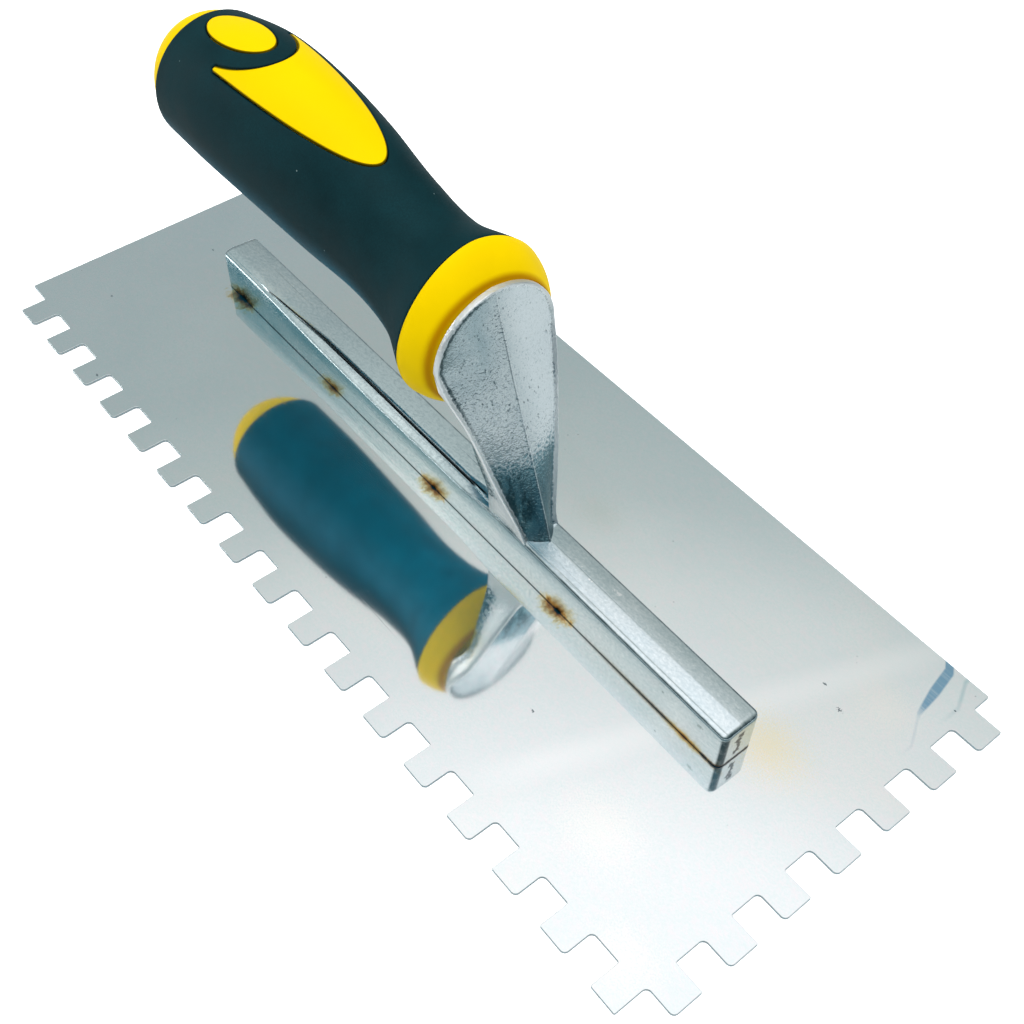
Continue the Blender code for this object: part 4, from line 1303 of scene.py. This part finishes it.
def build_cap(material):
    """Domed butt with a rounded front edge."""
    rings = lip_rings(CAP_FRONT, -1.0)
    start = CAP_FRONT - CORE_LIP
    for turn in quarter_turn(30)[1:-1]:
        rings.append(skin_ring(start + (BUTT_X - start) * math.sin(turn)))
    rings.append(skin_ring(CAP_FRONT + (BUTT_X - CAP_FRONT) * 0.9992))
    cap = make_object("butt_cap", loft(rings), material, 60.0)
    stands_for(cap, "end_cap")


# ---------------------------------------------------------------- carried-over nodes

def dress_hidden_fasteners():
    """Give the CAD studs, bolt and washer their steel."""
    steels = {
        "weld_stud": plain_steel("stud_machined", (0.45, 0.44, 0.43), 900.0),
        "handle_bolt": plain_steel("bolt_plated", (0.60, 0.61, 0.62), 1400.0),
        "bolt_washer": plain_steel("washer_plated", (0.62, 0.63, 0.64), 1200.0),
    }
    for name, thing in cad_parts.items():
        for start, material in steels.items():
            if name.startswith(start):
                thing.data.materials.clear()
                thing.data.materials.append(material)


# ---------------------------------------------------------------- stage

def build_floor():
    """Plain pale floor a hair under the blade."""
    n = Surface("floor_white")
    path = n.add("ShaderNodeLightPath", {})
    n.colour = n.mix(path["Is Glossy Ray"], (0.93, 0.93, 0.93), (0.50, 0.54, 0.55))
    material = n.finish(0.9, {
        "Specular IOR Level": 0.1, "Emission Color": (1.0, 1.0, 1.0),
        "Emission Strength": n.times(path["Is Camera Ray"], FLOOR_GLOW)})
    mesh = bpy.data.meshes.new("floor")
    signs = ((-1, -1), (1, -1), (1, 1), (-1, 1))
    corners = [(x * FLOOR_REACH, y * FLOOR_REACH, -FLOOR_DROP) for x, y in signs]
    mesh.from_pydata(corners, [], [(0, 1, 2, 3)])
    mesh.materials.append(material)
    link("floor", mesh)


def colour_ramp(n, fraction, stops):
    """Colour ramp over a value with (position, colour) stops."""
    result = n.add("ShaderNodeValToRGB", {"Fac": fraction})["Color"]
    elements = result.node.color_ramp.elements
    while len(elements) < len(stops):
        elements.new(0.5)
    for element, (position, colour) in zip(elements, stops):
        element.position = position
        element.color = (*colour, 1.0)
    return result


def build_world():
    """Soft studio surround: bright overhead, grey lower down and dark near the horizon."""
    world = bpy.data.worlds.new("studio")
    bpy.context.scene.world = world
    n = Nodes(world)
    n.tree.nodes.clear()
    direction = n.add("ShaderNodeTexCoord", {})["Generated"]
    up = n.axis(direction, 2)
    far_side = colour_ramp(n, up, LOW_STOPS + FAR_STOPS + HIGH_STOPS)
    near_side = colour_ramp(n, up, LOW_STOPS + NEAR_STOPS + HIGH_STOPS)
    side = n.span(n.axis(direction, 1), -0.28, -0.12, smooth=True)
    low = n.times(
        n.fall(up, 0.40, 0.50, smooth=True),
        n.fall(n.axis(direction, 0), 0.60, 0.85, smooth=True))
    tone = n.mix(low, n.mix(side, near_side, far_side), (0.25, 0.275, 0.28))
    surround = n.add("ShaderNodeBackground", {"Color": tone})[0]
    pale = n.add("ShaderNodeBackground", {"Color": (1.0, 1.0, 1.0)})[0]
    seen = n.add("ShaderNodeLightPath", {})["Is Camera Ray"]
    shown = n.add("ShaderNodeMixShader", {0: seen, 1: surround, 2: pale})[0]
    n.add("ShaderNodeOutputWorld", {"Surface": shown})


def add_panel(name, place, aim, size, power, in_mirrors):
    """Soft area light that looks at a point."""
    light = bpy.data.lights.new(name, "AREA")
    light.shape = "RECTANGLE"
    light.size, light.size_y = size
    light.energy = power
    holder = link(name, light)
    holder.location = place
    holder.rotation_euler = (Vector(place) - Vector(aim)).to_track_quat("Z", "Y").to_euler()
    holder.visible_glossy = in_mirrors


def build_camera():
    """Camera at the photograph's viewing angle."""
    data = bpy.data.cameras.new("camera")
    data.sensor_width = 36.0
    data.lens = CAMERA_LENS
    data.shift_x, data.shift_y = CAMERA_SHIFT
    data.clip_start = 0.01
    camera = link("camera", data)
    camera.matrix_world = Matrix(CAMERA_ROWS)
    bpy.context.scene.camera = camera


def main():
    """Dress the frame and set the stage."""
    build_blade()
    build_bar(bar_metal())
    build_neck(cast_metal())
    yellow = yellow_plastic("core_plastic", 0.0, True)
    build_core(yellow)
    build_islands(yellow)
    build_grip(soft_rubber())
    build_cap(yellow_plastic("cap_plastic", 0.4, False))
    dress_hidden_fasteners()
    build_floor()
    build_world()
    for panel in PANELS:
        add_panel(*panel)
    build_camera()
    bpy.context.scene.view_settings.view_transform = "Standard"


main()
